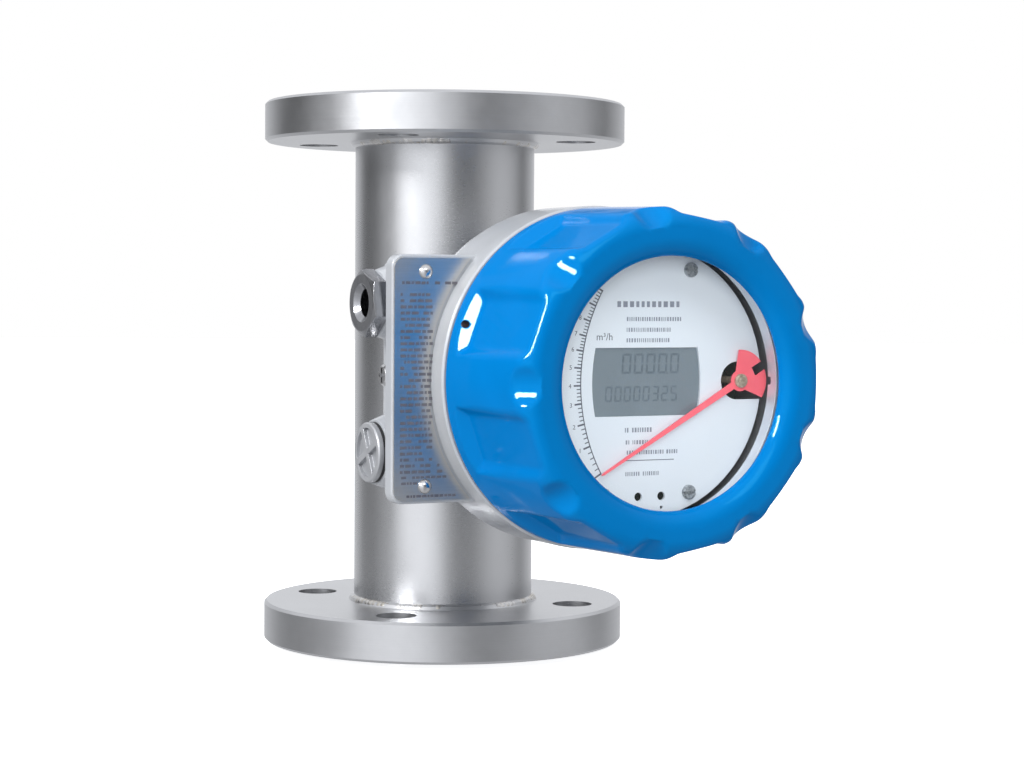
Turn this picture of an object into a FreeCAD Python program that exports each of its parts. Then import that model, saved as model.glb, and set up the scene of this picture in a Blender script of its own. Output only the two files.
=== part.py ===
import FreeCAD, Part
import Sketcher
import math
import os

# Metal-tube variable-area flow meter, DN50, flanged, with a magnetically
# coupled dial head.  Origin: centre of the lower raised face.  +Z runs up the
# tube with the flow, the dial faces -Y.
# Head pieces are drawn in a frame of their own: x to the right of the dial,
# y up the dial, z out of the dial; head_frame() turns that frame so its z
# points along -Y at the height of the dial axis.

V = FreeCAD.Vector
doc = FreeCAD.newDocument("rotameter")
sheet = doc.addObject("Spreadsheet::Sheet", "dims")

ROWS = [
    # pressure body
    ("face_height", 250.0), ("flange_radius", 82.5), ("rim_thick", 18.0),
    ("face_radius", 51.0), ("face_raise", 2.0), ("port_radius", 25.0),
    ("bolt_circle_radius", 62.5), ("bolt_hole_radius", 9.0), ("rim_edge", 1.2),
    ("weld_leg", 2.4), ("tube_outer", 41.15), ("tube_inner", 37.0),
    ("land_inner", 35.5), ("land_low", 136.0), ("land_high", 186.0),
    ("ring_groove", 38.3), ("ring_wide", 2.0), ("low_groove", 63.8),
    ("high_groove", 196.2),
    # guides and metering cone
    ("guide_inner", 33.0), ("guide_tall", 10.0), ("low_guide", 66.0),
    ("hub_radius", 7.0), ("hub_bore", 4.3), ("spoke_wide", 4.0),
    ("cone_base", 76.0), ("cone_low", 22.2), ("cone_high", 30.5),
    ("cone_wall", 3.0), ("collar_tall", 4.0),
    # float
    ("head_radius", 23.2), ("float_radius", 14.5), ("float_low", 76.3),
    ("float_high", 120.0), ("stem_radius", 4.0), ("stem_low", 22.0),
    ("stem_high", 199.0), ("magnet_outer", 12.0), ("magnet_low", 97.0),
    ("magnet_high", 116.0), ("nut_flats", 13.0), ("nut_tall", 6.5),
    # head, measured from the tube axis outwards
    ("dial_height", 127.5), ("can_radius", 70.0), ("can_back", 100.0),
    ("can_front", 142.0), ("can_inner", 58.0), ("can_floor", 106.0),
    ("can_round", 12.0), ("neck_radius", 63.0), ("neck_front", 185.0),
    ("pocket_half_wide", 50.0), ("pocket_half_tall", 36.0),
    ("pocket_back", 52.0), ("pocket_wall", 4.0), ("ear_half_tall", 47.0),
    ("ear_thick", 6.0), ("wing_left", 77.0), ("wing_half_tall", 47.0),
    ("wing_back", 98.0), ("plate_left", 87.0), ("plate_half_tall", 49.5),
    ("plate_back", 125.0), ("plate_front", 131.5), ("entry_offset", 30.0),
    ("entry_depth", 111.0), ("boss_face", 85.0), ("boss_radius", 13.2),
    ("boss_foot", 17.0), ("entry_bore", 9.25), ("bracket_back", 38.0),
    ("bracket_front", 52.0), ("bracket_plate", 6.0),
    ("bracket_half_wide", 30.0), ("bolt_x", 38.0), ("bolt_y", 41.5),
    # cover
    ("cover_back", 143.2), ("cover_radius", 69.3), ("cover_bore", 63.5),
    ("cover_front", 206.0), ("cover_nose", 68.2), ("cover_round", 8.0), ("window_radius", 49.1),
    ("lip_back", 200.4), ("flat_apothem", 65.1), ("flat_back", 154.4), ("ramp_back", 148.8),
    ("scoop_radius", 11.0), ("scoop_depth", 3.0), ("glass_radius", 60.5), ("glass_thick", 7.0),
    ("gasket_thick", 1.0), ("retainer_inner", 53.6), ("retainer_thick", 6.0),
    # dial and movement
    ("dial_radius", 53.4), ("dial_back", 180.5), ("dial_thick", 1.0),
    ("screen_half_wide", 24.7), ("screen_half_tall", 13.4),
    ("pivot_x", 42.0), ("pivot_slot", 7.6), ("needle_length", 73.0),
    ("needle_plane", 183.4), ("needle_thick", 0.6), ("rest_angle", 29.6),
    ("shaft_radius", 1.5), ("shaft_back", 57.0), ("shaft_front", 186.0),
    ("board_radius", 50.0), ("board_back", 168.0), ("board_thick", 1.6),
    ("chassis_back", 112.0), ("chassis_thick", 2.0), ("post_x", 33.0),
    ("post_y", 35.0), ("arm_back", 60.0), ("arm_thick", 2.0),
    ("arm_length", 42.0), ("magnet_half", 9.0),
]
D = {}


class Q:
    """A number together with the spreadsheet expression that drives it."""

    def __init__(self, v, e):
        self.v = float(v)
        self.e = e

    def mix(self, other, op, flip=False):
        o = other if isinstance(other, Q) else Q(other, "%.6g" % other)
        a, b = (o, self) if flip else (self, o)
        v = {"+": lambda: a.v + b.v, "-": lambda: a.v - b.v,
             "*": lambda: a.v * b.v, "/": lambda: a.v / b.v}[op]()
        return Q(v, "(%s %s %s)" % (a.e, op, b.e))

    def __add__(self, o): return self.mix(o, "+")
    def __radd__(self, o): return self.mix(o, "+", True)
    def __sub__(self, o): return self.mix(o, "-")
    def __rsub__(self, o): return self.mix(o, "-", True)
    def __mul__(self, o): return self.mix(o, "*")
    def __rmul__(self, o): return self.mix(o, "*", True)
    def __truediv__(self, o): return self.mix(o, "/")
    def __neg__(self): return self.mix(-1.0, "*")


for i, (alias, value) in enumerate(ROWS):
    sheet.set("A%d" % (i + 1), alias.replace("_", " "))
    sheet.set("B%d" % (i + 1), "%g" % value)
    sheet.setAlias("B%d" % (i + 1), alias)
    D[alias] = Q(value, "dims." + alias)
doc.recompute()


def q(x):
    return x if isinstance(x, Q) else Q(x, "%.6g" % x)


def bind(obj, prop, value):
    value = q(value)
    obj.setExpression(prop, value.e)


# ---------------------------------------------------------------- placements
DIAL_H = D["dial_height"].v


def head_frame(obj):
    obj.Placement = FreeCAD.Placement(V(0, 0, DIAL_H), FreeCAD.Rotation(V(1, 0, 0), 90))
    obj.setExpression("Placement.Base.z", "dims.dial_height")
    return obj


def entry_frame(obj, side):
    """z along -X, at the upper (+1) or lower (-1) cable opening."""
    obj.Placement = FreeCAD.Placement(
        V(0, -D["entry_depth"].v, DIAL_H + side * D["entry_offset"].v),
        FreeCAD.Rotation(V(0, 1, 0), -90))
    obj.setExpression("Placement.Base.y", "-dims.entry_depth")
    obj.setExpression("Placement.Base.z",
                      "dims.dial_height %s dims.entry_offset" % ("+" if side > 0 else "-"))
    return obj


# ------------------------------------------------------------ sketch helpers
def body(label):
    b = doc.addObject("PartDesign::Body", label)
    b.Label = label
    return b


def origin_part(b, role):
    return [f for f in b.Origin.OriginFeatures if f.Role == role][0]


def sketch(b, name, plane="XY_Plane", lift=0.0, lift_expr=None):
    s = b.newObject("Sketcher::SketchObject", name)
    s.AttachmentSupport = [(origin_part(b, plane), "")]
    s.MapMode = "FlatFace"
    lift = q(lift)
    if lift.v != 0.0:
        s.AttachmentOffset = FreeCAD.Placement(V(0, 0, lift.v), FreeCAD.Rotation())
        s.setExpression("AttachmentOffset.Base.z", lift.e)
    return s


def pin(s, geo, end, x, y):
    """Hold a sketch point at x, y."""
    x, y = q(x), q(y)
    if abs(x.v) < 1e-9:
        s.addConstraint(Sketcher.Constraint("PointOnObject", geo, end, -2))
    else:
        k = s.addConstraint(Sketcher.Constraint("DistanceX", -1, 1, geo, end, x.v))
        s.setExpression("Constraints[%d]" % k, x.e)
    if abs(y.v) < 1e-9:
        s.addConstraint(Sketcher.Constraint("PointOnObject", geo, end, -1))
    else:
        k = s.addConstraint(Sketcher.Constraint("DistanceY", -1, 1, geo, end, y.v))
        s.setExpression("Constraints[%d]" % k, y.e)


def outline(s, pts):
    """A closed polygon through pts."""
    n = len(pts)
    base = s.GeometryCount
    for i in range(n):
        a, b = pts[i], pts[(i + 1) % n]
        s.addGeometry(Part.LineSegment(V(q(a[0]).v, q(a[1]).v, 0), V(q(b[0]).v, q(b[1]).v, 0)), False)
    for i in range(n):
        s.addConstraint(Sketcher.Constraint("Coincident", base + i, 2, base + (i + 1) % n, 1))
    for i in range(n):
        pin(s, base + i, 1, pts[i][0], pts[i][1])


def ring_of(s, x, y, r):
    x, y, r = q(x), q(y), q(r)
    g = s.addGeometry(Part.Circle(V(x.v, y.v, 0), V(0, 0, 1), r.v), False)
    k = s.addConstraint(Sketcher.Constraint("Radius", g, r.v))
    s.setExpression("Constraints[%d]" % k, r.e)
    if abs(x.v) < 1e-9 and abs(y.v) < 1e-9:
        s.addConstraint(Sketcher.Constraint("Coincident", g, 3, -1, 1))
    else:
        pin(s, g, 3, x, y)


def turn(b, name, pts, cut=False):
    """Revolve a closed profile (radius, height) about z, or groove with it."""
    s = sketch(b, name + "_profile", "XZ_Plane")
    outline(s, pts)
    f = b.newObject("PartDesign::Groove" if cut else "PartDesign::Revolution", name)
    f.Profile = s
    f.ReferenceAxis = (s, ["V_Axis"])
    f.Angle = 360.0
    s.Visibility = False
    return f


def pad(b, name, s, length, reverse=False):
    f = b.newObject("PartDesign::Pad", name)
    f.Profile = s
    f.Length = q(length).v
    bind(f, "Length", length)
    f.Reversed = reverse
    s.Visibility = False
    return f


def pocket(b, name, s, length):
    """Cut along the sketch's own normal."""
    f = b.newObject("PartDesign::Pocket", name)
    f.Profile = s
    f.Length = q(length).v
    bind(f, "Length", length)
    f.Reversed = True
    s.Visibility = False
    return f


def around(b, name, originals, count):
    f = b.newObject("PartDesign::PolarPattern", name)
    f.Originals = originals
    f.Axis = (origin_part(b, "Z_Axis"), [""])
    f.Angle = 360.0
    f.Occurrences = count
    b.Tip = f
    return f


def edges(shape, test):
    return ["Edge%d" % (i + 1) for i, e in enumerate(shape.Edges) if test(e)]


def circle_at(r, z, tol=0.02):
    def test(e):
        c = e.Curve
        return (c.TypeId == "Part::GeomCircle" and abs(c.Radius - r) < tol
                and abs(c.Center.z - z) < tol and abs(c.Center.x) < tol and abs(c.Center.y) < tol)
    return test


def dress(b, name, kind, feature, test, size):
    doc.recompute()
    f = b.newObject("PartDesign::" + kind, name)
    f.Base = (feature, edges(feature.Shape, test))
    if kind == "Fillet":
        f.Radius = q(size).v
        bind(f, "Radius", size)
    else:
        f.Size = q(size).v
        bind(f, "Size", size)
    return f


# primitives for cast shapes
def cyl(name, r, z0, z1, x=0.0, y=0.0):
    c = doc.addObject("Part::Cylinder", name)
    bind(c, "Radius", r)
    bind(c, "Height", q(z1) - q(z0))
    bind(c, "Placement.Base.x", x)
    bind(c, "Placement.Base.y", y)
    bind(c, "Placement.Base.z", z0)
    return c


def box(name, x0, x1, y0, y1, z0, z1):
    c = doc.addObject("Part::Box", name)
    bind(c, "Length", q(x1) - q(x0))
    bind(c, "Width", q(y1) - q(y0))
    bind(c, "Height", q(z1) - q(z0))
    bind(c, "Placement.Base.x", x0)
    bind(c, "Placement.Base.y", y0)
    bind(c, "Placement.Base.z", z0)
    return c


def fuse(name, items):
    f = doc.addObject("Part::MultiFuse", name)
    f.Shapes = items
    return f


def cut(name, base, tool):
    f = doc.addObject("Part::Cut", name)
    f.Base = base
    f.Tool = tool
    return f


def rounded(name, base, test, r):
    doc.recompute()
    f = doc.addObject("Part::Fillet", name)
    f.Base = base
    f.Edges = [(i + 1, r, r) for i, e in enumerate(base.Shape.Edges) if test(e)]
    return f


def vertical(e):
    if e.Curve.TypeId != "Part::GeomLine":
        return False
    d = e.Curve.Direction
    return abs(abs(d.z) - 1) < 1e-6


PARTS = []


def keep(obj, label=None):
    if label:
        obj.Label = label
    PARTS.append(obj)
    return obj


# ================================================================ pressure body
def flange(label, flipped):
    """Forged weld-on flange with raised face and the fillet weld to the tube."""
    b = body(label)
    rim = D["flange_radius"]
    top = D["face_raise"] + D["rim_thick"]
    disc = turn(b, label + "_disc", [
        (D["port_radius"], 0), (D["face_radius"], 0), (D["face_radius"], D["face_raise"]),
        (rim - D["rim_edge"], D["face_raise"]), (rim, D["face_raise"] + D["rim_edge"]),
        (rim, top - D["rim_edge"]), (rim - D["rim_edge"], top),
        (D["tube_outer"] + D["weld_leg"], top),
        (D["tube_outer"] + D["weld_leg"] * 0.62, top + D["weld_leg"] * 0.62),
        (D["tube_outer"], top + D["weld_leg"]), (D["tube_outer"], top), (D["port_radius"], top)])
    s = sketch(b, label + "_bolt")
    ring_of(s, D["bolt_circle_radius"] * math.cos(math.pi / 4),
            D["bolt_circle_radius"] * math.sin(math.pi / 4), D["bolt_hole_radius"])
    hole = pocket(b, label + "_bolt_hole", s, top + 1.0)
    around(b, label + "_bolt_holes", [hole], 4)
    if flipped:
        b.Placement = FreeCAD.Placement(V(0, 0, D["face_height"].v), FreeCAD.Rotation(V(1, 0, 0), 180))
        b.setExpression("Placement.Base.z", "dims.face_height")
    return keep(b)


flange("inlet_flange", False)
flange("outlet_flange", True)

b = body("measuring_tube")
z0 = D["face_raise"] + D["rim_thick"]
z1 = D["face_height"] - z0
ro, ri, rg, rl = D["tube_outer"], D["tube_inner"], D["ring_groove"], D["land_inner"]
g0, g1, w = D["low_groove"], D["high_groove"], D["ring_wide"]
turn(b, "tube_wall", [
    (ri, z0), (ro, z0), (ro, z1), (ri, z1), (ri, g1 + w), (rg, g1 + w), (rg, g1), (ri, g1),
    (ri, D["land_high"]), (rl, D["land_high"]), (rl, D["land_low"]), (ri, D["land_low"]),
    (ri, g0 + w), (rg, g0 + w), (rg, g0), (ri, g0)])
keep(b)


def guide(label, z):
    """Ring, three spokes and a bored hub that keep the float stem central."""
    b = body(label)
    turn(b, label + "_ring", [
        (D["guide_inner"], z), (ri, z), (ri, z + D["guide_tall"]), (D["guide_inner"], z + D["guide_tall"])])
    s = sketch(b, label + "_hub_sketch", lift=z)
    ring_of(s, 0, 0, D["hub_radius"])
    pad(b, label + "_hub", s, D["guide_tall"])
    s = sketch(b, label + "_spoke_sketch", lift=z)
    outline(s, [(D["hub_radius"] - 1.5, -D["spoke_wide"] / 2), (D["guide_inner"] + 1.0, -D["spoke_wide"] / 2),
                (D["guide_inner"] + 1.0, D["spoke_wide"] / 2), (D["hub_radius"] - 1.5, D["spoke_wide"] / 2)])
    spoke = pad(b, label + "_spoke", s, D["guide_tall"])
    around(b, label + "_spokes", [spoke], 3)
    s = sketch(b, label + "_bore_sketch", lift=z)
    ring_of(s, 0, 0, D["hub_bore"])
    pocket(b, label + "_bore", s, D["guide_tall"])
    return keep(b)


guide("lower_guide", D["low_guide"])
guide("upper_guide", D["land_high"])

# Internal circlips: one below the lower guide, one above the upper guide.
clips = []
for tag, z in (("low", g0), ("high", g1)):
    s_out = cyl("clip_out_" + tag, rg, z, z + w)
    s_in = cyl("clip_in_" + tag, D["guide_inner"] + 1.0, z - 1.0, z + w + 1.0)
    ring = cut("clip_ring_" + tag, s_out, s_in)
    gap = box("clip_gap_" + tag, 0.0, 45.0, -5.0, 5.0, z - 1.0, z + w + 1.0)
    clips.append(cut("clip_" + tag, ring, gap))
pair = doc.addObject("Part::Compound", "guide_circlips")
pair.Links = clips
keep(pair, "guide_circlips")

b = body("metering_cone")
zc = D["cone_base"]
zt = D["land_low"]
turn(b, "cone_wall", [
    (D["cone_low"], zc), (ri, zc), (ri, zc + D["collar_tall"]),
    (D["cone_low"] + D["cone_wall"] + 1.0, zc + D["collar_tall"] + 3.0),
    (D["cone_high"] + D["cone_wall"] - 0.4, zt - D["collar_tall"]), (ri, zt - D["collar_tall"]),
    (ri, zt), (D["cone_high"], zt)])
keep(b)

# ================================================================ float
b = body("float_body")
fl, fh = D["float_low"], D["float_high"]
turn(b, "float_shape", [
    (D["stem_radius"], fl), (9.0, fl), (D["head_radius"], fl + 11.0), (D["head_radius"], fl + 12.5),
    (D["float_radius"] + 1.0, fl + 18.0), (D["float_radius"], fl + 21.0),
    (D["float_radius"], fh - 1.0), (D["float_radius"] - 1.0, fh), (D["magnet_outer"], fh),
    (D["magnet_outer"], D["magnet_low"]), (D["stem_radius"], D["magnet_low"])])
keep(b)
b = body("float_magnet")
turn(b, "magnet_ring", [
    (D["stem_radius"], D["magnet_low"]), (D["magnet_outer"], D["magnet_low"]),
    (D["magnet_outer"], D["magnet_high"]), (D["stem_radius"], D["magnet_high"])])
keep(b)
b = body("float_cap")
turn(b, "cap_plug", [
    (D["stem_radius"], D["magnet_high"]), (D["magnet_outer"], D["magnet_high"]),
    (D["magnet_outer"], fh), (D["magnet_outer"] - 1.5, fh + 2.0), (D["stem_radius"], fh + 2.0)])
keep(b)
b = body("float_stem")
turn(b, "stem_rod", [
    (0, D["stem_low"]), (D["stem_radius"] - 1.5, D["stem_low"]), (D["stem_radius"], D["stem_low"] + 1.5),
    (D["stem_radius"], D["stem_high"] - 1.5), (D["stem_radius"] - 1.5, D["stem_high"]), (0, D["stem_high"])])
keep(b)


def hexagon(flats, turn_deg=0.0):
    r = q(flats) / math.sqrt(3.0)
    return [(r * math.cos(math.radians(60 * i + turn_deg)), r * math.sin(math.radians(60 * i + turn_deg)))
            for i in range(6)]


b = body("float_nut")
s = sketch(b, "nut_hex", lift=fh + 2.0)
outline(s, hexagon(D["nut_flats"], 7.0))
ring_of(s, 0, 0, D["stem_radius"])
pad(b, "nut_body", s, D["nut_tall"])
keep(b)

# ================================================================ bracket
pb = D["bracket_front"] - D["bracket_plate"]
saddle = box("saddle_block", -D["bracket_half_wide"], D["bracket_half_wide"],
             -D["bracket_half_wide"], D["bracket_half_wide"], D["bracket_back"] * 0.72, pb + 0.5)
plate = box("bracket_plate_blank", -D["pocket_half_wide"] + 2.0, D["pocket_half_wide"] - 2.0,
            -D["ear_half_tall"], D["ear_half_tall"], pb, D["bracket_front"])
plate_r = rounded("bracket_plate_round", plate, vertical, 6.0)
tubecut = doc.addObject("Part::Cylinder", "saddle_seat")
bind(tubecut, "Radius", D["tube_outer"])
bind(tubecut, "Height", 160)
tubecut.Placement = FreeCAD.Placement(V(0, 80, 0), FreeCAD.Rotation(V(1, 0, 0), 90))
bolt_cuts = [cyl("bracket_tap_%d%d" % (i, j), 3.0, pb - 1.0, D["bracket_front"] + 1.0,
                 D["bolt_x"] * sx, D["bolt_y"] * sy)
             for i, sx in enumerate((-1, 1)) for j, sy in enumerate((-1, 1))]
brk = cut("bracket_shape", fuse("bracket_solid", [saddle, plate_r]),
          fuse("bracket_cuts", [tubecut] + bolt_cuts))
keep(head_frame(brk), "mounting_bracket")

# ================================================================ housing
R0, C0, C1 = D["can_radius"], D["can_back"], D["can_front"]
can = doc.addObject("PartDesign::Body", "can_shell")
rr = D["can_round"]
turn(can, "can_outer", [
    (0, C0), (R0 - rr, C0), (R0 - rr * 0.617, C0 + rr * 0.076), (R0 - rr * 0.293, C0 + rr * 0.293),
    (R0 - rr * 0.076, C0 + rr * 0.617), (R0, C0 + rr),
    (R0, C1 - 0.8), (R0 - 0.8, C1), (D["neck_radius"], C1), (D["neck_radius"], D["neck_front"] - 1.0),
    (D["neck_radius"] - 1.0, D["neck_front"]), (0, D["neck_front"])])
turn(can, "seal_groove", [
    (D["neck_radius"] - 2.0, C1 + 2.0), (D["neck_radius"] + 2.0, C1 + 2.0),
    (D["neck_radius"] + 2.0, C1 + 4.8), (D["neck_radius"] - 2.0, C1 + 4.8)], cut=True)

PW, PH, PB, TW = D["pocket_half_wide"], D["pocket_half_tall"], D["pocket_back"], D["pocket_wall"]
pocket_blank = rounded("pocket_round", box("pocket_blank", -PW, PW, -PH, PH, PB, C0 + 3.0), vertical, 8.0)
ear_blank = rounded("ear_round", box("ear_blank", -PW, PW, -D["ear_half_tall"], D["ear_half_tall"],
                                     PB, PB + D["ear_thick"]), vertical, 6.0)
wing_blank = rounded("wing_round", box("wing_blank", -D["wing_left"], -20.0, -D["wing_half_tall"],
                                       D["wing_half_tall"], D["wing_back"], D["plate_back"] + 1.0),
                     lambda e: e.Curve.TypeId == "Part::GeomLine"
                     and abs(e.BoundBox.Center.x + D["wing_left"].v) < 0.01
                     and (vertical(e) or abs(e.BoundBox.Center.z - D["wing_back"].v) < 0.01), 5.0)
plate_blank = rounded("plate_round", box("plate_blank", -D["plate_left"], -20.0, -D["plate_half_tall"],
                                         D["plate_half_tall"], D["plate_back"], D["plate_front"]),
                      lambda e: vertical(e) and abs(e.BoundBox.Center.x + D["plate_left"].v) < 0.01, 5.0)
plate_edge = rounded("plate_edge_round", plate_blank,
                     lambda e: abs(e.BoundBox.ZMin - e.BoundBox.ZMax) < 1e-6
                     and e.BoundBox.XMax < -20.5 or
                     (abs(e.BoundBox.ZMin - e.BoundBox.ZMax) < 1e-6 and e.BoundBox.XLength > 30), 1.0)
bosses = []
bores = []
for tag, side in (("up", 1.0), ("down", -1.0)):
    cone = doc.addObject("Part::Cone", "boss_" + tag)
    bind(cone, "Radius1", D["boss_foot"])
    bind(cone, "Radius2", D["boss_radius"])
    bind(cone, "Height", D["boss_face"] - D["wing_left"] + 2.0)
    cone.Placement = FreeCAD.Placement(V(-D["wing_left"].v + 2.0, side * D["entry_offset"].v, D["entry_depth"].v),
                                       FreeCAD.Rotation(V(0, 1, 0), -90))
    cone.setExpression("Placement.Base.x", "-dims.wing_left + 2")
    cone.setExpression("Placement.Base.y", "%g * dims.entry_offset" % side)
    cone.setExpression("Placement.Base.z", "dims.entry_depth")
    bosses.append(cone)
    hole = doc.addObject("Part::Cylinder", "entry_hole_" + tag)
    bind(hole, "Radius", D["entry_bore"])
    bind(hole, "Height", 50.0)
    hole.Placement = FreeCAD.Placement(V(-46.0, side * D["entry_offset"].v, D["entry_depth"].v),
                                       FreeCAD.Rotation(V(0, 1, 0), -90))
    hole.setExpression("Placement.Base.y", "%g * dims.entry_offset" % side)
    hole.setExpression("Placement.Base.z", "dims.entry_depth")
    bores.append(hole)
outer = fuse("housing_outer", [can, pocket_blank, ear_blank, wing_blank, plate_edge] + bosses)
well = cyl("can_well", D["can_inner"], D["can_floor"], D["neck_front"] + 2.0)
pocket_well = rounded("pocket_well_round",
                      box("pocket_well", -PW + TW, PW - TW, -PH + TW, PH - TW, PB + TW, D["can_floor"] + 1.0),
                      vertical, 4.5)
ear_holes = [cyl("ear_hole_%d%d" % (i, j), 3.3, PB - 1.0, PB + D["ear_thick"] + 1.0,
                 D["bolt_x"] * sx, D["bolt_y"] * sy)
             for i, sx in enumerate((-1, 1)) for j, sy in enumerate((-1, 1))]
ground_hole = doc.addObject("Part::Cylinder", "ground_hole")
bind(ground_hole, "Radius", 2.5)
bind(ground_hole, "Height", 10.0)
ground_hole.Placement = FreeCAD.Placement(V(-D["wing_left"].v + 9.0, 0.9, D["entry_depth"].v),
                                          FreeCAD.Rotation(V(0, 1, 0), -90))
ground_hole.setExpression("Placement.Base.z", "dims.entry_depth")
rivet_y = 42.6
rivet_x = 72.6
rivet_holes = [cyl("rivet_hole_%d" % i, 1.5, D["plate_front"] - 5.0, D["plate_front"] + 1.0, -rivet_x, sy * rivet_y)
               for i, sy in enumerate((-1, 1))]
post_taps = [cyl("post_tap_%d%d" % (i, j), 1.25, D["can_floor"] - 4.0, D["can_floor"] + 1.0, D["post_x"] * sx, D["post_y"] * sy)
             for i, sx in enumerate((-1, 1)) for j, sy in enumerate((-1, 1))]
house = cut("housing_shape", outer, fuse("housing_cuts", [well, pocket_well, ground_hole] + bores + ear_holes + rivet_holes + post_taps))
keep(head_frame(house), "housing")

# Hex-head bolts from the housing ears into the bracket.
bolts = []
for i, sx in enumerate((-1, 1)):
    for j, sy in enumerate((-1, 1)):
        tag = "%d%d" % (i, j)
        shank = cyl("ear_shank_" + tag, 3.0, pb, PB + D["ear_thick"] + 0.5, D["bolt_x"] * sx, D["bolt_y"] * sy)
        hexh = doc.addObject("Part::Prism", "ear_head_" + tag)
        hexh.Polygon = 6
        bind(hexh, "Circumradius", 5.77)
        bind(hexh, "Height", 4.0)
        bind(hexh, "Placement.Base.x", D["bolt_x"] * sx)
        bind(hexh, "Placement.Base.y", D["bolt_y"] * sy)
        bind(hexh, "Placement.Base.z", PB + D["ear_thick"])
        bolts.append(fuse("ear_bolt_" + tag, [shank, hexh]))
grp = doc.addObject("Part::Compound", "head_bolts")
grp.Links = bolts
keep(head_frame(grp), "head_bolts")

# ================================================================ nameplate
np_l, np_t = D["plate_left"] - 0.8, D["plate_half_tall"] - 1.4
np_blank = box("nameplate_blank", -np_l, -40.0, -np_t, np_t, D["plate_front"], D["plate_front"] + 0.8)
np_round = rounded("nameplate_round", np_blank,
                   lambda e: vertical(e) and abs(e.BoundBox.Center.x + np_l.v) < 0.01, 4.2)
np_arc = cyl("nameplate_arc", R0 + 1.3, D["plate_front"] - 1.0, D["plate_front"] + 2.0)
np_holes = [cyl("nameplate_hole_%d" % i, 1.5, D["plate_front"] - 1.0, D["plate_front"] + 2.0, -rivet_x, sy * rivet_y)
            for i, sy in enumerate((-1, 1))]
keep(head_frame(cut("nameplate_shape", np_round, fuse("nameplate_cuts", [np_arc] + np_holes))), "nameplate")

rivets = []
for i, sy in enumerate((-1, 1)):
    shank = cyl("rivet_shank_%d" % i, 1.5, D["plate_front"] - 4.0, D["plate_front"] + 1.2, -rivet_x, sy * rivet_y)
    ball = doc.addObject("Part::Sphere", "rivet_ball_%d" % i)
    bind(ball, "Radius", 3.2)
    bind(ball, "Placement.Base.x", -rivet_x)
    bind(ball, "Placement.Base.y", sy * rivet_y)
    bind(ball, "Placement.Base.z", D["plate_front"] + 0.8 - 1.2)
    half = cyl("rivet_half_%d" % i, 4.0, D["plate_front"] + 0.8, D["plate_front"] + 6.0, -rivet_x, sy * rivet_y)
    dome = doc.addObject("Part::Common", "rivet_dome_%d" % i)
    dome.Base = ball
    dome.Tool = half
    rivets.append(fuse("rivet_%d" % i, [shank, dome]))
grp = doc.addObject("Part::Compound", "nameplate_rivets")
grp.Links = rivets
keep(head_frame(grp), "nameplate_rivets")

# ================================================================ cable openings
def hex_fitting(label, side, flats, base, height, bore, shank, shank_r):
    b = body(label)
    s = sketch(b, label + "_hex_sketch", lift=base)
    outline(s, hexagon(flats, 8.0 if side > 0 else 24.0))
    hexpad = pad(b, label + "_hex", s, height)
    apex = q(flats) * 0.5
    corner = q(flats) * 0.58
    # turned chamfer on the outer end
    turn(b, label + "_chamfer", [
        (apex - 0.6, q(base) + height + 1.0), (corner + 2.0, q(base) + height + 1.0),
        (corner + 2.0, q(base) + height - 1.9), (apex - 0.6, q(base) + height)], cut=True)
    s = sketch(b, label + "_shank_sketch", lift=q(base) - shank)
    ring_of(s, 0, 0, shank_r)
    pad(b, label + "_shank", s, q(shank) + 0.5)
    if bore:
        s = sketch(b, label + "_bore_sketch", lift=q(base) - shank - 1.0)
        ring_of(s, 0, 0, bore)
        pocket(b, label + "_bore", s, q(shank) + height + 3.0)
        turn(b, label + "_mouth", [
            (0, q(base) + height + 0.5), (q(bore) + 2.6, q(base) + height + 0.5),
            (bore, q(base) + height - 2.2), (0, q(base) + height - 2.2)], cut=True)
    return keep(entry_frame(b, side))


hex_fitting("cable_entry", 1, 24.0, D["boss_face"], 6.2, 5.6, 14.0, D["entry_bore"])

# Blanking plug: a low round head with a rim and four crossed ribs between pockets.
b = body("blanking_plug")
seat = D["boss_face"] + 1.2
turn(b, "plug_body", [
    (0, seat - 14.0), (D["entry_bore"] - 0.4, seat - 14.0), (D["entry_bore"] - 0.4, seat), (12.1, seat),
    (12.1, seat + 1.8), (11.6, seat + 2.4), (0, seat + 2.4)])
rib, rim, lean = 1.25, 9.9, math.radians(27.0)
start = math.asin(rib / rim)
corner = [(rib, rib)]
for i in range(9):
    a = start + (math.pi / 2 - 2 * start) * i / 8.0
    corner.append((rim * math.cos(a), rim * math.sin(a)))
s = sketch(b, "plug_pocket_sketch", lift=seat + 0.8)
outline(s, [(round(x * math.cos(lean) - y * math.sin(lean), 4), round(x * math.sin(lean) + y * math.cos(lean), 4))
            for x, y in corner])
hollow = pocket(b, "plug_pocket", s, 3.0)
around(b, "plug_pockets", [hollow], 4)
keep(entry_frame(b, -1))

b = body("plug_washer")
turn(b, "washer_ring", [
    (D["entry_bore"] - 0.4, D["boss_face"]), (12.2, D["boss_face"]),
    (12.2, D["boss_face"] + 1.2), (D["entry_bore"] - 0.4, D["boss_face"] + 1.2)])
keep(entry_frame(b, -1))

# Ground terminal: cheese-head screw with a serrated washer.
def ground_frame(o):
    o.Placement = FreeCAD.Placement(V(0, -D["entry_depth"].v, DIAL_H + 0.9), FreeCAD.Rotation(V(0, 1, 0), -90))
    o.setExpression("Placement.Base.y", "-dims.entry_depth")
    o.setExpression("Placement.Base.z", "dims.dial_height + 0.9")
    return o


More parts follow.
